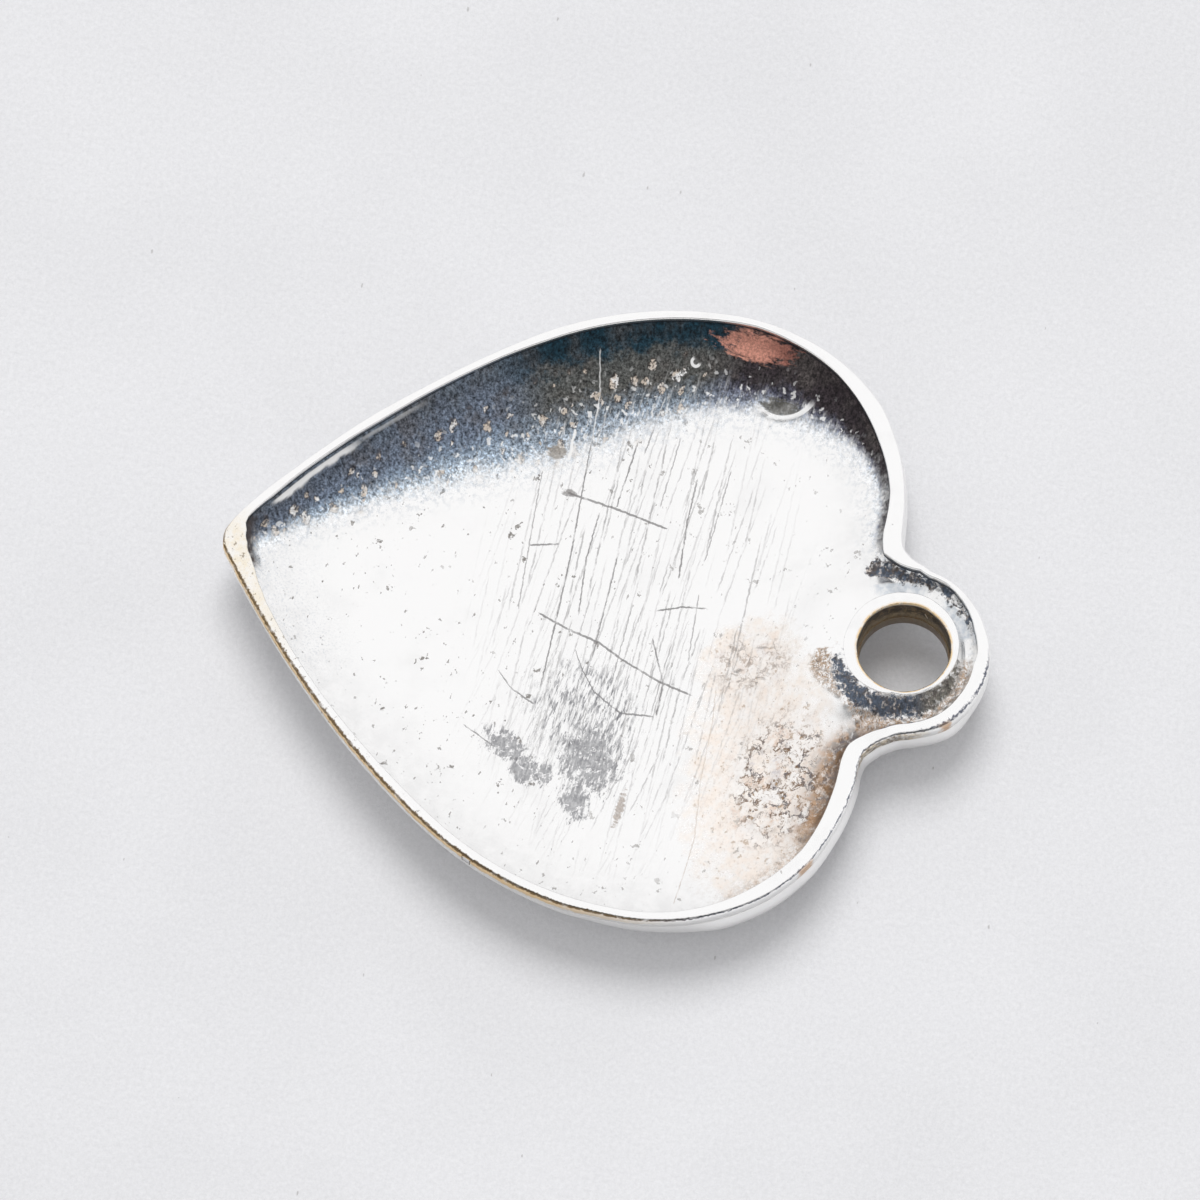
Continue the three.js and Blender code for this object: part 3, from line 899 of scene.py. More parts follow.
    def lay_specks(self):
        """Uneven specks over the floor, close together towards the tip."""
        b, level = self.b, self.level
        by_tip = b.rise(self.y, -3.0, 4.0, 1.0, 0.6)
        nicks = b.rise(b.noise(level, 1.9, 4.0, 0.64), 0.645, 0.675)
        nicks = b.most(nicks, b.times(0.9, b.rise(b.noise(
            b.spun(level, -8, (1.0, 1.6, 1), (9, 4, 0)), 2.7, 3.0, 0.64), 0.66, 0.69)))
        crumbs = b.times(b.rise(b.noise(b.moved(level, 3, 8), 8.0, 3.0, 0.75), 0.66, 0.72), 0.35)
        pits = b.times(b.most(nicks, crumbs), by_tip)
        self.pits = b.times(pits, b.rise(self.cloud, 0.36, 0.54, 0.35, 1.0))
        self.coat.lay(b.times(self.pits, b.rise(self.fine, 0.3, 0.6, 0.55, 0.95)),
                      self.colours.pit)

    def lay_cuts(self):
        """Fine cuts across the middle of the floor, and the long cuts one by one."""
        b, shaken, cut = self.b, self.shaken, self.colours.cut
        field = self.patch("field", 0.5, 0.4)
        centre = self.patch("centre", 0.5, 0.4)
        broken = b.rise(b.noise(b.vector("MULTIPLY", self.level, (1.6, 4.0, 1)), 1.3, 4.0, 0.7),
                        0.36, 0.58, 0.15, 1.0)
        lines = b.most(
            b.group("Fine Lines", place=shaken, turn=0.03, spacing=0.34, length=6.5, width=0.05,
                    share=0.8),
            b.times(b.group("Fine Lines", place=b.moved(shaken, 3, 9), turn=0.145, spacing=0.3,
                            length=7.5, width=0.045, share=0.75), 0.85),
            b.times(b.group("Fine Lines", place=b.moved(shaken, 6, 4), turn=0.08, spacing=0.2,
                            length=4.0, width=0.04, share=0.8), centre),
            b.times(b.group("Fine Lines", place=b.moved(shaken, 1, 2), turn=0.25, spacing=0.3,
                            length=3.5, width=0.045, share=0.7), b.rise(self.x, 0.5, 2.5)))
        self.lines = b.times(b.times(lines, field), broken)
        self.coat.lay(b.times(self.lines, 0.6), cut)
        wobble = b.times(b.sum("SUBTRACT", self.blotch, 0.5), 0.12)
        broken_cuts = b.rise(self.middling, 0.36, 0.5, 0.45, 1.0)
        self.cuts_x = b.times(self.cut_lines("cuts_x", wobble), broken_cuts)
        self.cuts = b.most(self.cuts_x, b.times(self.cut_lines("cuts_y", wobble), broken_cuts))
        self.coat.lay(b.times(self.cuts, 0.8), b.cover(b.rise(self.y, 3.4, 3.8), cut,
                                                       self.colours.warm_cut))

    def lay_rubbed(self):
        """Grey places where the plate is rubbed through, streaked along the cuts."""
        b, colours, level = self.b, self.colours, self.level
        streaks = b.noise(b.spun(level, -8, (1.3, 6.5, 1)), 1.5, 5.0, 0.7)
        self.curly = b.noise(self.curled, 4.2, 5.0, 0.75)
        frayed = b.noise(b.spun(level, -8, (1.2, 3.2, 1), (3, 1, 0)), 2.4, 6.0, 0.78)
        rubbed = b.times(self.patch("rubbed", 4.5, 0.12, frayed), b.rise(self.curly, 0.40, 0.47))
        streaky = b.times(self.patch("streaky", 1.6, 0.3), b.rise(streaks, 0.50, 0.56))
        rubbed = b.most(rubbed, streaky)
        self.rubbed_share = b.times(rubbed, b.rise(self.curly, 0.40, 0.62, 1.0, 0.66))
        self.coat.lay(self.rubbed_share, b.cover(b.rise(frayed, 0.42, 0.58), colours.rubbed,
                                                 colours.dark_rubbed))

    def lay_tarnish_and_reflection(self):
        """Dark tarnish and painted dark reflection down the left wall. It pales in flecks, and fine
        cuts shine through it.
        """
        b, colours, level, band = self.b, self.colours, self.level, self.band
        dark = b.group("Tarnish And Reflection Edge", place=level, reach=self.reach, fleck=1.5, ragged=1.5,
                       softness=0.45)
        mottle = b.noise(b.moved(level, 4, 1), 1.3, 6.0, 0.72)
        uneven_band = b.sum("MULTIPLY_ADD", b.sum("SUBTRACT", mottle, 0.5), 0.75, band)
        spread_band = b.times(uneven_band, 0.8)
        # The dark coat is partly tarnish and partly painted reflection of the dark room on the
        # camera's side.
        tarnish = Coat(b, b.ramp(spread_band, LEFT_BAND))
        tarnish.lay(b.layer("right"), b.ramp(spread_band, RIGHT_BAND))
        tarnish.lay(b.layer("lobe_end"), b.ramp(spread_band, LOBE_BAND))
        mottled = b.rise(b.noise(level, 0.9, 4.0, 0.65), 0.45, 0.68, 0.0, 0.5)
        tarnish.lay(b.times(mottled, b.rise(band, 0.95, 0.6)), colours.grey_tarnish_and_reflection)
        self.gritty = b.noise(b.moved(level, 5, 2), 7.5, 4.0, 0.85)
        tarnish.shade(b.rise(self.gritty, 0.30, 0.70, 0.1, 2.3))
        tarnish.shade(b.rise(self.fine, 0.25, 0.75, 0.45, 1.7))
        dashes = b.between(b.layer("right"),
                           b.noise(b.spun(level, 53, (1.0, 2.2, 1)), 3.4, 4.0, 0.7),
                           b.noise(b.spun(level, -6, (0.9, 2.6, 1)), 3.0, 4.0, 0.7))
        dashes = b.times(b.rise(dashes, 0.55, 0.61), b.rise(band, 0.55, 0.95))
        tarnish.lay(b.times(dashes, 0.75), colours.silver)
        shine = b.times(self.lines, b.rise(band, 0.3, 0.75))
        tarnish.lay(b.times(shine, 0.7), colours.silver)
        tarnish.lay(b.times(self.cuts_x, 0.6), colours.silver)
        self.lay_flecks(tarnish)
        self.lay_spots(tarnish)
        self.coat.lay(dark, tarnish.colour)
        # Painted highlight: bright plate laid over the dark on the shelf below the rim.
        self.coat.lay(b.times(b.layer("ledge"), 0.92), colours.silver)
        self.dark = dark

    def lay_flecks(self, tarnish):
        """Tan flecks with brown edges, and smaller bright bits."""
        b, colours = self.b, self.colours
        fleck = b.group("Pits", place=b.moved(self.curled, 1.7, 0.4), spacing=0.6, size=0.26,
                        share=0.5, stretch=1.5)
        fleck = b.times(fleck, b.rise(self.gritty, 0.40, 0.58, 0.45, 1.15))
        fleck = b.times(fleck, b.times(b.rise(self.band, 0.1, 0.5),
                                       b.rise(b.layer("lobe_end"), 0.3, 0.9, 1.0, 0.0)))
        tarnish.lay(b.times(b.rise(fleck, 0.15, 0.35), 0.6), colours.brown_tarnish)
        fleck = b.rise(fleck, 0.48, 0.66)
        tarnish.lay(b.times(fleck, b.rise(self.fine, 0.3, 0.6, 0.5, 0.95)),
                    b.cover(b.rise(self.middling, 0.45, 0.6), colours.fleck, colours.silver))
        bits = b.group("Pits", place=b.moved(self.curled, 4.4, 8.4), spacing=0.36, size=0.10,
                       share=0.4, stretch=1.3)
        bits = b.times(b.rise(bits, 0.3, 0.55), b.rise(self.band, 0.2, 0.8))
        tarnish.lay(b.times(bits, 0.75), colours.silver)

    def lay_spots(self, tarnish):
        """A copper bloom, the hollows of two dents, a smudge and a blob, coloured by place."""
        b, colours = self.b, self.colours
        wisps = b.noise(b.spun(self.level, 80, (1.0, 3.2, 1)), 2.2, 5.0, 0.72)
        spot = b.times(self.patch("spots", 3.0, 0.22, wisps),
                       b.rise(self.gritty, 0.35, 0.5, 0.6, 1.0))
        dent, smudge, blob = (0.095, 0.09, 0.075), (0.36, 0.32, 0.27), (0.30, 0.27, 0.24)
        spot_colour = Coat(b, b.ramp(b.sum("MULTIPLY_ADD", self.x, 0.04, 0.5), (
            (0.0, colours.copper), (0.12, colours.copper), (0.13, dent), (0.19, dent),
            (0.24, smudge), (0.30, blob), (0.34, colours.cut), (1.0, (0.50, 0.40, 0.32)))))
        in_bloom = b.sum("LESS_THAN", self.x, -9.3)
        spot_colour.lay(b.times(in_bloom, b.rise(self.y, 3.2, 4.3, 0.0, 0.7)),
                        colours.dark_copper)
        spot_colour.shade(b.rise(self.fine, 0.25, 0.75, 0.6, 1.4))
        tarnish.lay(b.times(spot, 0.95), spot_colour.colour)
        self.coat.lay(b.times(spot, 0.75), spot_colour.colour)

    def lay_lips(self):
        """The pale lips of the two dents, and a small ring mark."""
        b = self.b
        lips = b.most(
            b.group("Ring Stain", place=self.level, middle=flat(-8.96, 4.25), radius=1.12,
                    width=0.085, bearing=0.15, spread=0.9, ragged=0.15),
            b.group("Ring Stain", place=self.level, middle=flat(-9.16, 1.29), radius=0.13,
                    width=0.05, bearing=-0.6, spread=2.0, ragged=0.1),
            b.group("Scratch", place=self.shaken, start=flat(-6.3, -2.15),
                    end=flat(-5.35, -2.17), width=0.09))
        self.coat.lay(b.times(lips, 0.9), self.colours.silver)

    def lay_groove_stains_and_reflection(self):
        """Stains in the groove round the collar, the blue-black and dark ones partly painted dark
        reflection, and brown along the right lobe's rim.
        """
        b, colours, coat, level = self.b, self.colours, self.coat, self.level
        middle = flat(*BORE)
        ragged_depth = b.sum("MULTIPLY_ADD", self.curly, 1.3, -0.67)
        # The blue-black stain and the dark stain at the neck are partly painted dark reflection.
        navy, tan, neck = [b.rise(b.sum("ADD", b.layer(name), ragged_depth), low, high)
                           for name, low, high in (("navy", -0.05, 0.09), ("tan", -0.1, 0.1),
                                                   ("dark", 0.0, 0.11))]
        self.haze = b.most(
            b.group("Ring Stain", place=level, middle=middle, radius=2.05, width=0.22,
                    bearing=2.31, spread=0.35, ragged=0.4),
            b.group("Ring Stain", place=level, middle=middle, radius=2.12, width=0.32,
                    bearing=-2.92, spread=0.38, ragged=0.25))
        coat.lay(b.times(self.haze, b.rise(self.blotch, 0.35, 0.6, 0.25, 0.75)), colours.haze)
        tan_curls = b.rise(b.apart(self.curly, 0.49), 0.012, 0.05, 1.0, 0.0)
        by_rim = b.times(self.film, b.rise(self.wall, 0.1, 0.75, 0.8, 0.08))
        tan = b.most(tan, by_rim)
        self.tan_share = b.times(tan, b.most(tan_curls, b.rise(self.blotch, 0.50, 0.60, 0.12, 0.7)))
        coat.lay(self.tan_share, b.cover(b.rise(self.gritty, 0.42, 0.56), colours.dark_tan,
                                         colours.tan))
        offset = b.node("ShaderNodeSeparateXYZ", b.vector(
            "SUBTRACT", self.place, middle)).outputs
        turned_up = b.rise(b.sum("MULTIPLY_ADD", offset[0], -0.36, offset[1]), -0.1, 0.6)
        inside = Coat(b, b.cover(turned_up, colours.blue_tarnish_and_reflection, colours.loop_tarnish_and_reflection))
        inside.lay(b.rise(b.noise(level, 3.0, 4.0, 0.7), 0.5, 0.6, 0.0, 0.7),
                   colours.brown_tarnish)
        neck_colour = b.cover(b.rise(b.noise(level, 2.4, 4.0, 0.7), 0.45, 0.55),
                              colours.blue_tarnish_and_reflection, colours.brown_tarnish)
        inside.lay(neck, neck_colour)
        glints = b.rise(b.noise(b.moved(level, 2, 6), 5.5, 5.0, 0.78), 0.54, 0.62)
        inside.lay(b.times(glints, 0.85), colours.glint)
        inside.shade(b.rise(self.gritty, 0.32, 0.68, 0.25, 1.9))
        self.groove = b.most(navy, neck)
        coat.lay(b.times(self.groove, 0.95), inside.colour)

    def lay_tip_stain(self):
        """Brown below the rim at the heart's tip."""
        b = self.b
        tip_stain = b.times(
            b.group("Patch", place=self.level, middle=flat(-0.2, -11.6), reach=(0.9, 0.5, 1),
                    ragged=0.6, grain=3.0, softness=0.3),
            b.rise(self.wall, 0.08, 0.30, 1.0, 0.0))
        self.coat.lay(b.times(tip_stain, b.rise(self.gritty, 0.35, 0.55, 0.4, 0.95)),
                      self.colours.brown_tarnish)

    def lay_front_and_hole(self):
        """Plain plate over the front, and brown inside the hole below the collar."""
        b, colours = self.b, self.colours
        away = b.vector("LENGTH", b.vector("MULTIPLY", b.vector(
            "SUBTRACT", self.place, flat(*BORE)), (1, 1, 0)), out=1)
        in_hole = b.sum("LESS_THAN", away, BORE_RADIUS)
        hole_colour = b.cover(b.rise(self.fine, 0.4, 0.65), colours.hole, colours.crust)
        front = Coat(b, colours.silver)
        front.lay(b.rise(self.cloud, 0.5, 0.75, 0.0, 0.5), colours.dull_silver)
        front.lay(b.rise(self.fine, 0.70, 0.76, 0.0, 0.4), colours.pit)
        self.coat.colour = b.cover(self.hollow, front.colour, self.coat.colour)
        self.coat.lay(in_hole, hole_colour)

    def dullness(self):
        """Where the back is covered and doesn't shine as metal."""
        b = self.b
        dull = b.most(self.dark, self.groove, self.haze, b.times(self.tan_share, 0.8), self.stain,
                      b.times(self.rubbed_share, 0.6), b.times(self.film_share, 0.5))
        return b.times(dull, self.hollow)

    def relief(self):
        """The fine relief that only the light shows."""
        b = self.b
        height = b.sum("MULTIPLY_ADD", b.most(self.cuts, self.pits), -1.0,
                       b.times(self.fine, b.between(b.layer("film"), 0.2, 0.5)))
        return b.times(height, self.hollow)


def pan_material(colours):
    material, b, shader, place = new_material("tarnished_silver")
    paint = PanPaint(b, place, colours)
    for lay in (paint.lay_plate, paint.lay_film, paint.lay_crust, paint.lay_specks,
                paint.lay_cuts, paint.lay_rubbed, paint.lay_tarnish_and_reflection, paint.lay_lips,
                paint.lay_groove_stains_and_reflection, paint.lay_tip_stain, paint.lay_front_and_hole):
        lay()
    dull = paint.dullness()
    b.feed(shader.inputs["Base Color"], paint.coat.colour)
    b.feed(shader.inputs["Metallic"], b.between(dull, 1.0, 0.12))
    b.feed(shader.inputs["Specular IOR Level"], 0.15)
    front = b.times(b.sum("SUBTRACT", 1.0, paint.hollow), 0.6)
    b.feed(shader.inputs["Roughness"], b.between(b.most(dull, front), 0.24, 0.5))
    b.emboss(shader, 0.7, 0.01 * MM, paint.relief())
    return material


def rim_material(colours):
    """Bright plate, worn through to brass along the outer corner of the right side, with painted
    dark reflection along that corner and on the far inner wall.
    """
    material, b, shader, place = new_material("bright_silver")
    across = b.layer("across")
    x, y, z = b.node("ShaderNodeSeparateXYZ", place).outputs
    grain = b.group("Plate Grain", place=place, size=0.07, contrast=1.2)
    cloud = b.noise(place, 0.9, 3.0, 0.6)
    uneven = b.noise(place, 2.6, 5.0, 0.7)
    fine = b.noise(place, 8.0, 4.0, 0.7)
    coat = Coat(b, colours.silver)
    coat.lay(b.rise(cloud, 0.5, 0.8, 0.0, 0.25), colours.dull_silver)
    near_side = b.rise(x, -0.9, 0.2)
    tip_side = b.times(near_side, b.rise(y, -1.0, 5.0, 1.0, 0.0))

    # Warm metal shows faintly on the top by the tip.
    at_tip = b.times(b.rise(y, -11.4, -9.0, 1.0, 0.0), b.rise(x, -1.5, 0.0))
    coat.lay(b.times(at_tip, b.rise(uneven, 0.35, 0.65, 0.15, 0.6)), colours.warm_silver)

    # Brass on the outer side from the tip along the right side, and a dark line at the very corner
    # that is partly worn brass and partly painted dark reflection.
    outside = b.rise(across, 0.09, 0.16, 1.0, 0.0)
    ragged_height = b.sum("MULTIPLY_ADD", b.sum("SUBTRACT", uneven, 0.5), 0.5, z)
    side = b.times(outside, b.rise(ragged_height, 2.0, 2.12))
    brass_share = b.times(b.times(side, tip_side), b.rise(uneven, 0.3, 0.5, 0.45, 0.95))
    coat.lay(brass_share, colours.brass)
    # The corner line: partly worn brass, partly painted dark reflection.
    worn_and_reflection_line = b.sum("ADD", across, b.times(b.sum("SUBTRACT", fine, 0.5), 0.18))
    corner = b.rise(b.apart(worn_and_reflection_line, 0.15), b.rise(y, 2.0, 6.0, 0.03, 0.008),
                    b.rise(y, 2.0, 6.0, 0.07, 0.035), 1.0, 0.0)
    corner_wear_and_reflection = b.times(corner, b.times(near_side, b.rise(
        uneven, 0.36, 0.50, b.rise(y, 0.0, 5.0, 0.6, 0.2), 0.95)))
    coat.lay(corner_wear_and_reflection, b.cover(b.rise(y, 2.0, 6.0), colours.dark_brass, colours.blue_corner_reflection))

    # Brown marks on the top of the rim near the tip, and two orange spots on its side.
    marks = b.times(b.rise(b.noise(place, 5.0, 4.0, 0.75), 0.58, 0.64),
                    b.times(near_side, b.rise(y, -9.0, -4.0, 1.0, 0.0)))
    marks = b.times(marks, b.rise(across, 0.5, 0.95, 1.0, 0.2))
    coat.lay(b.times(marks, 0.7), colours.dark_brass)
    spots = b.most(*[
        b.group("Patch", place=place, middle=flat(*middle), reach=reach, ragged=0.8, grain=4.0,
                softness=0.4)
        for middle, reach in (((7.8, 7.95), (0.28, 0.3, 1)), ((2.1, 11.4), (0.2, 0.25, 1)))])
    spots = b.times(spots, b.rise(across, 0.06, 0.2, 1.0, 0.0))
    coat.lay(b.times(spots, 0.8), colours.orange_spot)

    # Brown in the hollow of the right cleft, and tarnish with painted dark reflection on the inner
    # walls of the far side.
    cleft = b.times(b.group("Patch", place=place, middle=flat(3.1, 9.3), reach=(1.2, 1.5, 1),
                            ragged=0.6, grain=2.0, softness=0.4),
                    b.rise(across, 0.08, 0.18, 1.0, 0.0))
    coat.lay(b.times(cleft, b.rise(fine, 0.35, 0.6, 0.3, 0.9)),
             b.cover(b.rise(uneven, 0.42, 0.55), colours.dark_brass, colours.cleft_brass))
    # Tarnish and painted dark reflection on the far inner wall.
    inner_tarnish_and_reflection = b.times(b.rise(across, 0.97, 1.06), b.rise(x, -1.0, 0.3, 1.0, 0.0))
    coat.lay(b.times(inner_tarnish_and_reflection, 0.92), colours.blue_tarnish_and_reflection)
    specks = b.group("Pits", place=place, spacing=0.9, size=0.05, share=0.25, stretch=1.0)
    coat.lay(b.times(specks, 0.5), colours.pit)
    b.feed(shader.inputs["Base Color"], coat.colour)
    b.feed(shader.inputs["Metallic"], 1.0)
    b.feed(shader.inputs["Roughness"], b.between(b.most(outside, inner_tarnish_and_reflection), 0.2, 0.4))
    b.emboss(shader, 0.5, 0.008 * MM, b.sum("SUBTRACT", grain, b.most(specks, marks)))
    return material


def collar_material(colours):
    """Bright plate outside, and brown inside the bore with a brass line at its edge."""
    material, b, shader, place = new_material("worn_plate")
    x, y, height = b.node("ShaderNodeSeparateXYZ", place).outputs
    grain = b.group("Plate Grain", place=place, size=0.06, contrast=1.6)
    cloud = b.noise(place, 1.2, 3.0, 0.6)
    coat = Coat(b, colours.silver)
    coat.lay(b.rise(cloud, 0.5, 0.8, 0.0, 0.3), colours.dull_silver)
    inside = b.layer("inside")
    uneven = b.noise(place, 2.5, 4.0, 0.65)
    brown = Coat(b, colours.dark_brass)
    brown.lay(b.rise(uneven, 0.4, 0.6), colours.brown_tarnish)
    brown.lay(b.rise(height, 1.9, 1.5, 0.0, 0.8), colours.hole)
    brown.lay(b.rise(grain, 0.3, 0.9, 0.0, 0.3), colours.brass)
    fine = b.noise(place, 4.5, 5.0, 0.75)
    brown.lay(b.times(b.rise(fine, 0.45, 0.52), b.rise(height, 1.5, 2.0, 0.3, 1.0)),
              colours.bore_shade)
    loopward = b.rise(b.sum("MULTIPLY_ADD", x, 0.35, y), BORE[1] + 0.6, BORE[1] + 1.3)
    brown.lay(b.times(loopward, 0.92), colours.bore_end)
    coat.lay(b.rise(inside, 0.55, 0.7), brown.colour)
    edge = b.rise(b.apart(inside, 0.5), 0.06, 0.14, 1.0, 0.0)
    coat.lay(b.times(edge, b.rise(uneven, 0.35, 0.55, 0.3, 0.9)), colours.brass)
    b.feed(shader.inputs["Base Color"], coat.colour)
    b.feed(shader.inputs["Metallic"], b.rise(inside, 0.5, 0.7, 1.0, 0.35))
    b.feed(shader.inputs["Specular IOR Level"], 0.25)
    b.feed(shader.inputs["Roughness"], b.rise(inside, 0.5, 0.7, 0.22, 0.45))
    b.emboss(shader, 0.6, 0.01 * MM, b.sum("ADD", grain, uneven))
    return material


def paper_material(colours):
    """Pale paper with a fine grain and a few specks."""
    material, b, shader, place = new_material("pale_paper")
    fibre = b.noise(place, 2.6, 6.0, 0.66)
    tone = b.noise(place, 0.12, 3.0, 0.5)
    speckle = b.noise(place, 7.0, 5.0, 0.8)
    share = b.sum("ADD", b.rise(tone, 0.3, 0.7, 0.0, 0.25),
                  b.times(b.rise(speckle, 0.25, 0.75), 0.75))
    coat = Coat(b, colours.paper)
    coat.lay(share, colours.paper_shade)
    level = b.vector("MULTIPLY", place, (1, 1, 0))
    specks = b.group("Pits", place=level, spacing=2.6, size=0.10, share=0.09, stretch=2.2)
    coat.lay(b.times(specks, 0.4), colours.pit)
    b.feed(shader.inputs["Base Color"], coat.colour)
    b.feed(shader.inputs["Roughness"], 0.9)
    b.feed(shader.inputs["Specular IOR Level"], 0.2)
    b.emboss(shader, 0.45, 0.1 * MM, fibre)
    return material


def colour_property(name, description, default):
    return bpy.props.FloatVectorProperty(name=name, description=description, default=default,
                                         subtype="COLOR", min=0, max=1)


def length_property(name, description, default):
    return bpy.props.FloatProperty(name=name, description=description, default=default,
                                   unit="LENGTH", subtype="DISTANCE", precision=5)


class PendantSizes(bpy.types.PropertyGroup):
    outer_rounding: length_property(
        "Outer rounding", "How much the rim's outer corner is worn round", 0.14 * MM)
    inner_rounding: length_property(
        "Inner rounding", "How much the rim's inner corner is worn round", 0.06 * MM)
    belly: length_property(
        "Belly", "How far the wall below the rim swells out beside the lobes and the loop",
        0.14 * MM)
    heartward_wall: length_property(
        "Collar wall towards the heart", "Thickness of the collar on the heart's side", 0.36 * MM)
    far_wall: length_property(
        "Collar wall away from the heart", "Thickness of the collar at the loop's end", 0.05 * MM)
    paper_width: length_property("Paper width", "Width of the sheet below the pendant", 0.8)


class PendantColours(bpy.types.PropertyGroup):
    silver: colour_property("Silver", "Clean bright plate", (0.965, 0.96, 0.95))
    dull_silver: colour_property("Dull silver", "Plate that has lost its shine",
                                 (0.76, 0.755, 0.75))
    warm_silver: colour_property("Warm silver", "Thin plate with base metal below it",
                                 (0.90, 0.76, 0.52))
    film: colour_property("Film", "Pinkish film over the plate", (0.95, 0.86, 0.78))
    stain: colour_property("Stain", "Orange-brown stain", (0.44, 0.26, 0.14))
    crust: colour_property("Crust", "Brown lines in the crust", (0.30, 0.20, 0.12))
    pit: colour_property("Pits", "Small dark specks", (0.20, 0.18, 0.16))
    cut: colour_property("Cuts", "The bottoms of scratches", (0.20, 0.19, 0.19))
    rubbed: colour_property("Rubbed metal", "Grey metal below the plate", (0.40, 0.40, 0.41))
    # Partly painted dark reflection, in the groove round the collar and on the rim's far inner
    # wall.
    blue_tarnish_and_reflection: colour_property("Blue tarnish", "Thick blue-black tarnish",
                                  (0.050, 0.070, 0.105))
    brown_tarnish: colour_property("Brown tarnish", "Brown-black tarnish",
                                   (0.060, 0.045, 0.040))
    fleck: colour_property("Flecks", "Tan flecks in the tarnish", (0.74, 0.64, 0.54))
    copper: colour_property("Copper", "Copper-pink bloom in the tarnish", (0.70, 0.33, 0.25))
    dark_copper: colour_property("Dark copper", "The bloom's darker end", (0.26, 0.09, 0.07))
    haze: colour_property("Haze", "Thin bluish haze over the plate", (0.52, 0.57, 0.63))
    grey_stain: colour_property("Grey stain", "The stain's greyer parts", (0.30, 0.27, 0.25))
    painted_crust_shade: colour_property("Crust hollows", "Grey in the crust", (0.50, 0.48, 0.52))
    # Painted shade in the crust's hollows.
    crust_orange: colour_property("Crust orange", "Orange in the crust", (0.70, 0.47, 0.33))
    crust_top: colour_property("Crust tops", "The crust's pale lumps", (0.97, 0.95, 0.93))
    curl: colour_property("Curls", "Brown outlines in the crust", (0.22, 0.135, 0.075))
    grey_curl: colour_property("Grey curls", "Grey outlines in the crust", (0.16, 0.15, 0.16))
    bead: colour_property("Beads", "Brown beads on the crust and film", (0.36, 0.22, 0.10))
    warm_cut: colour_property("Warm cut", "The cut across the film", (0.55, 0.45, 0.36))
    dark_rubbed: colour_property("Dark rubbed metal", "The darkest of the rubbed metal",
                                 (0.20, 0.20, 0.215))
    # Patches in the tarnish, partly painted dark reflection.
    grey_tarnish_and_reflection: colour_property("Grey tarnish", "Brown-grey patches in the tarnish",
                                  (0.085, 0.075, 0.07))
    # Partly painted dark reflection.
    loop_tarnish_and_reflection: colour_property("Loop tarnish", "Tarnish in the groove beside the loop's end",
                                  (0.15, 0.14, 0.12))
    glint: colour_property("Glints", "Pale bits in the groove's tarnish", (0.58, 0.52, 0.47))
    tan: colour_property("Tan", "Tan stain in the groove", (0.50, 0.34, 0.22))
    dark_tan: colour_property("Dark tan", "The tan stain's darker grains", (0.17, 0.11, 0.07))
    orange_spot: colour_property("Orange spots", "Two spots on the rim", (0.62, 0.36, 0.17))
    cleft_brass: colour_property("Cleft brass", "Brass in the right cleft", (0.60, 0.48, 0.30))
    # Painted dark reflection along the rim's corner.
    blue_corner_reflection: colour_property("Blue line", "The rim's corner beside the lobes",
                               (0.10, 0.11, 0.15))
    bore_shade: colour_property("Bore shade", "Dark mottling inside the collar",
                                (0.045, 0.032, 0.018))
    bore_end: colour_property("Bore end", "The bore's wall towards the loop's end",
                              (0.05, 0.04, 0.015))
    brass: colour_property("Brass", "Base metal at the worn corners", (0.86, 0.63, 0.34))
    dark_brass: colour_property("Dark brass", "Tarnished base metal", (0.14, 0.085, 0.03))
    hole: colour_property("Hole", "Brown metal inside the hole", (0.34, 0.28, 0.20))
    paper: colour_property("Paper", "The sheet below the pendant", (0.865, 0.865, 0.882))
    paper_shade: colour_property("Paper shade", "The sheet's darker parts",
                                 (0.735, 0.735, 0.75))


class Rows:
    """Rings of points, in millimetres, with a share kept for each ring."""

    def __init__(self):
        self.rings, self.shares = [], []

    def add(self, points, height, share):
        """Adds a ring, with one height or a height for each of its points."""
        self.rings.append(np.column_stack([points, np.broadcast_to(height, len(points))]))
        self.shares.append(np.full(len(points), share))

    def roll(self, name, layer):
        """A closed sheet of the rings. Its layer keeps the share at each point."""
        piece = rolled_sheet(name, np.array(self.rings), closed=True)
        # The seam's doubles are merged, so each point's share is found again by its place.
        shares = {tuple(np.round(point, 4)): share for point, share in zip(
            np.concatenate(self.rings), np.concatenate(self.shares))}
        stamp(piece, layer, [shares.get(tuple(np.round(point, 4)), 0.5)
                             for point in points_of(piece)])
        return piece


def front_rings(outer, belly):
    """The domed front, from its middle out to the rim's foot. It is fuller by the lobes."""
    rings = []
    out = (outer - MIDDLE) / np.hypot(*(outer - MIDDLE).T)[:, None]
    full = 2 + 1.1 * ease(outer[:, 1], -2.0, 6.0)
    for step in range(FRONT_STEPS, 0, -1):
        points = MIDDLE + (outer - MIDDLE) * (1 - (step / FRONT_STEPS)**2.5)
        left = np.maximum(0, 1 - from_outer(points) / DOME_REACH)
        height = RIM_FOOT * (1 - (1 - left**full)**(1 / full))
        web = ease(points[:, 1], 6.0, 8.6)
        height = height + web * (WEB_FOOT - height) * ease(WEB_FOOT - height, -0.2, 0.5)
        # The wall swells a little beside the lobes and the loop, but not past the plan's box.
        swell = belly * ease(outer[:, 1], -1.0, 5.0) * np.sin(
            math.pi * np.clip((RIM_FOOT - height) / 1.6, 0, 1))
        swell *= 1 - ease(np.abs(outer[:, 0]), 9.8, 10.5)
        swell *= 1 - ease(outer[:, 1], 11.6, 12.4)
        rings.append(np.column_stack([points + out * swell[:, None], height]))
    return rings


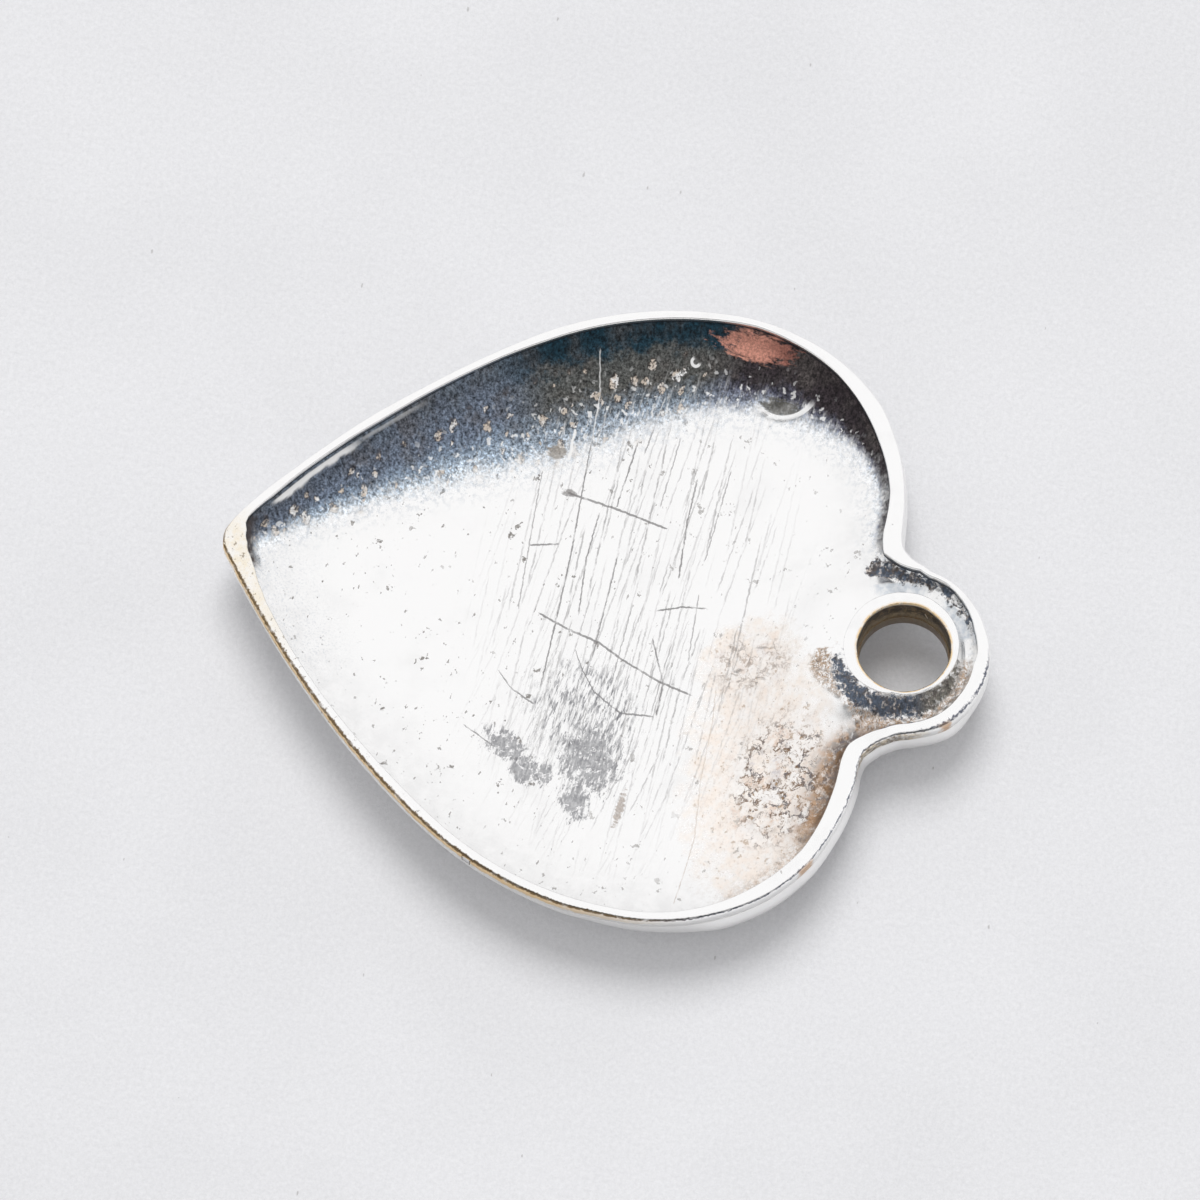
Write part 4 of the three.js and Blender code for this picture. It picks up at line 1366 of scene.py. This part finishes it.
def back_rings(inner):
    """The hollow back with its relief, from the rim's inner edge to the middle."""
    rings = []
    for step in range(1, BACK_STEPS + 1):
        points = MIDDLE + (inner - MIDDLE) * (1 - (step / BACK_STEPS)**1.5)
        height, wall = back_height(points)
        height += back_relief(points, wall) * ease(wall, 0.0, 0.05)
        rings.append(np.column_stack([points, np.minimum(height, PENDANT_HEIGHT)]))
    return rings


def cut_hole(pan):
    """The stepped hole that the collar stands in."""
    wide, narrow, seat = BORE_RADIUS + 0.10, BORE_RADIUS - 0.06, BORE_RADIUS + 0.08
    cutter = turned("pan_cutter", [
        (0, -1), (wide, -1), (wide, 0.70), (BORE_RADIUS, 0.78), (narrow, 0.9),
        (narrow, COLLAR_FOOT), (seat, COLLAR_FOOT), (seat, 4), (0, 4)], 96, BORE)
    deselect_all()
    bpy.context.view_layer.objects.active = pan
    pan.select_set(True)
    cut = pan.modifiers.new("Hole", "BOOLEAN")
    cut.object = cutter
    cut.operation = "DIFFERENCE"
    cut.solver = "EXACT"
    bpy.ops.object.modifier_apply(modifier=cut.name)
    bpy.data.objects.remove(cutter, do_unlink=True)


def stamp_pan(pan, inner):
    """Keeps what the pan's material reads: its walls, bands, stains, patches and cuts."""
    points = points_of(pan)
    plan = points[:, :2]
    wall = from_inner(plan)
    height, _ = back_height(plan)
    # The back's own points: within the inner outline, and not under it.
    offset, edge = plan - MIDDLE, inner - MIDDLE
    heading = np.arctan2(edge[:, 1], edge[:, 0])
    order = np.argsort(heading)
    limit = np.interp(np.arctan2(offset[:, 1], offset[:, 0]), heading[order],
                      np.hypot(*edge[order].T), period=2 * math.pi)
    within = np.hypot(*offset.T) < limit * 1.002
    reach = tarnish_and_reflection_reach(plan)
    turn = clock(plan)
    # The tarnish, band and stain layers carry tarnish and stains that are partly painted dark
    # reflection; the shelf's layer carries a painted highlight.
    layers = {
        "wall": wall, "tarnish": reach - wall, "band": wall / np.maximum(reach, 0.3),
        "right": ease(turn, 56, 74), "lobe_end": ease(turn, 103, 113),
        "ledge": ledge_highlight_share(plan, wall), "navy": stain_depth(plan, NAVY_STAIN_AND_REFLECTION),
        "tan": stain_depth(plan, TAN_STAIN), "dark": stain_depth(plan, DARK_STAIN_AND_REFLECTION),
        "hollow": within & (points[:, 2] > height - 0.3)}
    for name, ovals in PATCHES.items():
        layers[name] = patch_depth(plan, ovals)
    for name, cuts, axis in (("cuts_x", CUTS_ALONG_X, 0), ("cuts_y", CUTS_ALONG_Y, 1)):
        layers[name], layers[name + "_strength"] = trails(plan, cuts, axis)
    for name, values in layers.items():
        stamp(pan, name, values)


# How thick the collar's wall is: 1 is its thickest, towards the heart. By degrees round it.
HEARTWARD = ((0, 0), (45, 0.1), (90, 0.35), (135, 0.7), (180, 0.9), (225, 1), (270, 1),
             (300, 0.9), (320, 0.7), (345, 0.3))


def lay_paper(sizes, colours):
    deselect_all()
    bpy.ops.mesh.primitive_grid_add(x_subdivisions=8, y_subdivisions=8, size=sizes.paper_width,
                                    location=(0, 0, 0))
    paper = bpy.context.object
    paper.name = paper.data.name = "paper_sheet"
    paper.data.materials.append(paper_material(colours))


# The photograph's camera: degrees from +X towards +Y, and above the paper, and millimetres.
CAMERA_SIDE = 10.389
CAMERA_RISE = 68
CAMERA_TARGET = (-0.046, -0.184, PENDANT_HEIGHT)
CAMERA_DISTANCE = 800
VIEW_WIDTH = 38.49
SENSOR_WIDTH = 36
LAMP_RISE = 58
LAMP_SPREAD = 34
LAMP_STRENGTH = 1.55


def direction(degrees, rise):
    """A unit arrow so many degrees from +X towards +Y and so many above the paper."""
    side, rise = math.radians(degrees), math.radians(rise)
    return Vector((math.cos(side) * math.cos(rise), math.sin(side) * math.cos(rise),
                   math.sin(rise)))


def place_camera(scene):
    """The camera looks down steeply from the right side."""
    towards = direction(CAMERA_SIDE, CAMERA_RISE)
    lens = bpy.data.cameras.new("view")
    lens.sensor_width = SENSOR_WIDTH
    lens.lens = SENSOR_WIDTH * CAMERA_DISTANCE / VIEW_WIDTH
    lens.clip_start, lens.clip_end = 0.01, 10
    camera = bpy.data.objects.new("view", lens)
    scene.collection.objects.link(camera)
    camera.location = (Vector(CAMERA_TARGET) + towards * CAMERA_DISTANCE) * MM
    camera.rotation_euler = (-towards).to_track_quat("-Z", "Y").to_euler()
    scene.camera = camera


def hang_lamp():
    """A broad soft lamp over the left side, which only the paper shows."""
    deselect_all()
    bpy.ops.object.light_add(type="SUN", location=(-0.2, -0.04, 0.3))
    lamp = bpy.context.object
    lamp.name = lamp.data.name = "soft_lamp"
    lamp.data.energy = LAMP_STRENGTH
    lamp.data.angle = math.radians(LAMP_SPREAD)
    lamp_way = direction(CAMERA_SIDE + 180, LAMP_RISE)
    lamp.rotation_euler = lamp_way.to_track_quat("Z", "Y").to_euler()
    lamp.visible_glossy = False


def paint_room(scene):
    """A pale room with a dark card over the right side, for what is polished to show."""
    world = bpy.data.worlds.new("pale_room")
    world.use_nodes = True
    scene.world = world
    world.node_tree.nodes.clear()
    b = Bench(world.node_tree)
    way = b.node("ShaderNodeTexCoord").outputs["Generated"]
    sideways = b.vector("DOT_PRODUCT", way, tuple(direction(CAMERA_SIDE, 0)), out=1)
    above = b.node("ShaderNodeSeparateXYZ", way).outputs[2]
    card = b.times(b.rise(sideways, 0.30, 0.50), b.rise(above, 0.25, 0.45))
    path = b.node("ShaderNodeLightPath").outputs
    seen = b.between(card, 1.0, 0.3)
    strength = b.between(path["Is Glossy Ray"], 0.60, seen)
    strength = b.between(path["Is Camera Ray"], strength, 0.8)
    background = b.node("ShaderNodeBackground", (1.0, 1.0, 1.01), strength)
    result = b.node("ShaderNodeOutputWorld")
    world.node_tree.links.new(background.outputs[0], result.inputs[0])


class PENDANT_OT_make_pan(bpy.types.Operator):
    """Makes the dished pan with its hole, its relief, and its tarnish with painted dark reflection,
    shade and highlight
    """
    bl_idname = "pendant.make_pan"
    bl_label = "Make pan"

    def execute(self, context):
        sizes, colours = context.scene.pendant_sizes, context.scene.pendant_colours
        outer, _, inner = rim_lines(STEPS)
        seat = [np.column_stack([line, np.full(len(line), RIM_FOOT)]) for line in (outer, inner)]
        rings = front_rings(outer, sizes.belly / MM) + seat + back_rings(inner)
        pan = rolled_sheet("pan_plate", np.array(rings))
        cut_hole(pan)
        stamp_pan(pan, inner)
        smooth(pan, 50)
        finish_piece(pan, "heart_pan", pan_material(colours))
        return {"FINISHED"}


class PENDANT_OT_make_rim(bpy.types.Operator):
    """Makes the flat-topped rim with its worn corners and the painted dark reflection along them"""
    bl_idname = "pendant.make_rim"
    bl_label = "Make rim"

    def execute(self, context):
        sizes, colours = context.scene.pendant_sizes, context.scene.pendant_colours
        wall, edge, inner = rim_lines(STEPS)
        edge = edge + (inner - edge) * (0.03 * ripple(edge, 0.7, 21.0, 2) + 0.03)[:, None]
        top = PENDANT_HEIGHT - 0.008 - 0.010 * np.abs(ripple(wall, 2.3, 31.0, 2))
        round_out, round_in = sizes.outer_rounding / MM, sizes.inner_rounding / MM
        inward = (inner - edge) / np.hypot(*(inner - edge).T)[:, None]
        rows = Rows()
        rows.add(wall + inward * 0.03, RIM_FOOT - 0.05, 0.0)
        rows.add(wall, RIM_FOOT + 0.03, 0.0)
        rows.add(wall, top - 1.6 * round_out, 0.03)
        for turn in (0, 15, 30, 45, 60, 75, 90):
            angle = math.radians(turn)
            rows.add(wall + (edge + inward * 0.04 - wall) * (1 - math.cos(angle)),
                     top - round_out * (1 - math.sin(angle)), 0.05 + 0.2 * turn / 90)
        rows.add((edge + inner) / 2, top + 0.006, 0.5)
        for turn in (90, 72, 54, 36, 18, 0):
            angle = math.radians(turn)
            rows.add(inner - inward * round_in * (1 - math.cos(angle)),
                     top - round_in * (1 - math.sin(angle)), 0.95 - 0.2 * turn / 90)
        rows.add(inner + inward * 0.01, RIM_FOOT + 0.1, 1.2)
        rows.add(inner + inward * 0.03, RIM_FOOT - 0.25, 1.3)
        rim = rows.roll("rim_band", "across")
        smooth(rim, 60)
        finish_piece(rim, "edge_rim", rim_material(colours))
        return {"FINISHED"}


class PENDANT_OT_make_collar(bpy.types.Operator):
    """Makes the collar that lines the hanging hole"""
    bl_idname = "pendant.make_collar"
    bl_label = "Make collar"

    def execute(self, context):
        sizes, colours = context.scene.pendant_sizes, context.scene.pendant_colours
        bearings = np.arange(144) * 2 * math.pi / 144
        ray = np.stack([np.cos(bearings), np.sin(bearings)], 1)
        heartward = np.interp(np.degrees(bearings), *zip(*HEARTWARD), period=360)
        wall = sizes.far_wall / MM + (sizes.heartward_wall - sizes.far_wall) / MM * heartward
        bore = BORE_RADIUS + 0.02 * ripple(ray * 2, 1.0, 41.0, 2)
        top = PENDANT_HEIGHT - 0.012 - 0.010 * np.abs(ripple(ray * 2, 0.8, 43.0))
        rows = Rows()

        def row(radius, height, share):
            rows.add(BORE + ray * radius[:, None], height, share)

        row(bore - 0.02, COLLAR_FOOT, 1.0)
        for height in (1.55, 1.7, 1.85, 2.0, 2.15):
            row(bore + 0.02 * ripple(ray * 3, 0.7, height * 9), height, 0.9)
        for share, degrees in ((0.62, 0), (0.56, 25), (0.5, 50), (0.44, 70), (0.4, 90)):
            angle = math.radians(degrees)
            row(bore + 0.07 * (1 - math.cos(angle)), top - 0.07 * (1 - math.sin(angle)), share)
        row(bore + 0.07 + 0.4 * wall, top + 0.008, 0.3)
        for degrees in (90, 70, 50, 30):
            angle = math.radians(degrees)
            row(bore + 0.06 + wall - 0.03 * (1 - math.cos(angle)) + 0.03 * math.cos(angle),
                top - 0.05 * (1 - math.sin(angle)), 0.2)
        row(bore + wall + 0.10, 2.2, 0.1)
        row(bore + wall + 0.02, 1.8, 0.1)
        row(np.full(len(ray), 1.6), COLLAR_FOOT, 0.1)
        collar = rows.roll("collar_ring", "inside")
        smooth(collar, 60)
        finish_piece(collar, "bore_collar", collar_material(colours))
        return {"FINISHED"}


class PENDANT_OT_make_stage(bpy.types.Operator):
    """Lays the paper, sets the light and places the camera"""
    bl_idname = "pendant.make_stage"
    bl_label = "Make stage"

    def execute(self, context):
        scene = context.scene
        lay_paper(scene.pendant_sizes, scene.pendant_colours)
        place_camera(scene)
        hang_lamp()
        paint_room(scene)
        scene.view_settings.view_transform = "Standard"
        return {"FINISHED"}


STEPS_IN_ORDER = (PENDANT_OT_make_pan, PENDANT_OT_make_rim, PENDANT_OT_make_collar,
                  PENDANT_OT_make_stage)


class PENDANT_PT_panel(bpy.types.Panel):
    """Lists the pendant's sizes, its colours and the steps that make it"""
    bl_label = "Pendant"
    bl_idname = "PENDANT_PT_panel"
    bl_space_type = "VIEW_3D"
    bl_region_type = "UI"
    bl_category = "Pendant"

    def draw(self, context):
        for group in (context.scene.pendant_sizes, context.scene.pendant_colours):
            for name in type(group).__annotations__:
                self.layout.prop(group, name)
        for step in STEPS_IN_ORDER:
            self.layout.operator(step.bl_idname)


CLASSES = (PendantSizes, PendantColours, *STEPS_IN_ORDER, PENDANT_PT_panel)


def register():
    for item in CLASSES:
        bpy.utils.register_class(item)
    bpy.types.Scene.pendant_sizes = bpy.props.PointerProperty(type=PendantSizes)
    bpy.types.Scene.pendant_colours = bpy.props.PointerProperty(type=PendantColours)


def unregister():
    del bpy.types.Scene.pendant_colours
    del bpy.types.Scene.pendant_sizes
    for item in reversed(CLASSES):
        bpy.utils.unregister_class(item)


def main():
    register()
    make_effects()
    bpy.ops.pendant.make_pan()
    bpy.ops.pendant.make_rim()
    bpy.ops.pendant.make_collar()
    bpy.ops.pendant.make_stage()


if __name__ == "__main__":
    main()
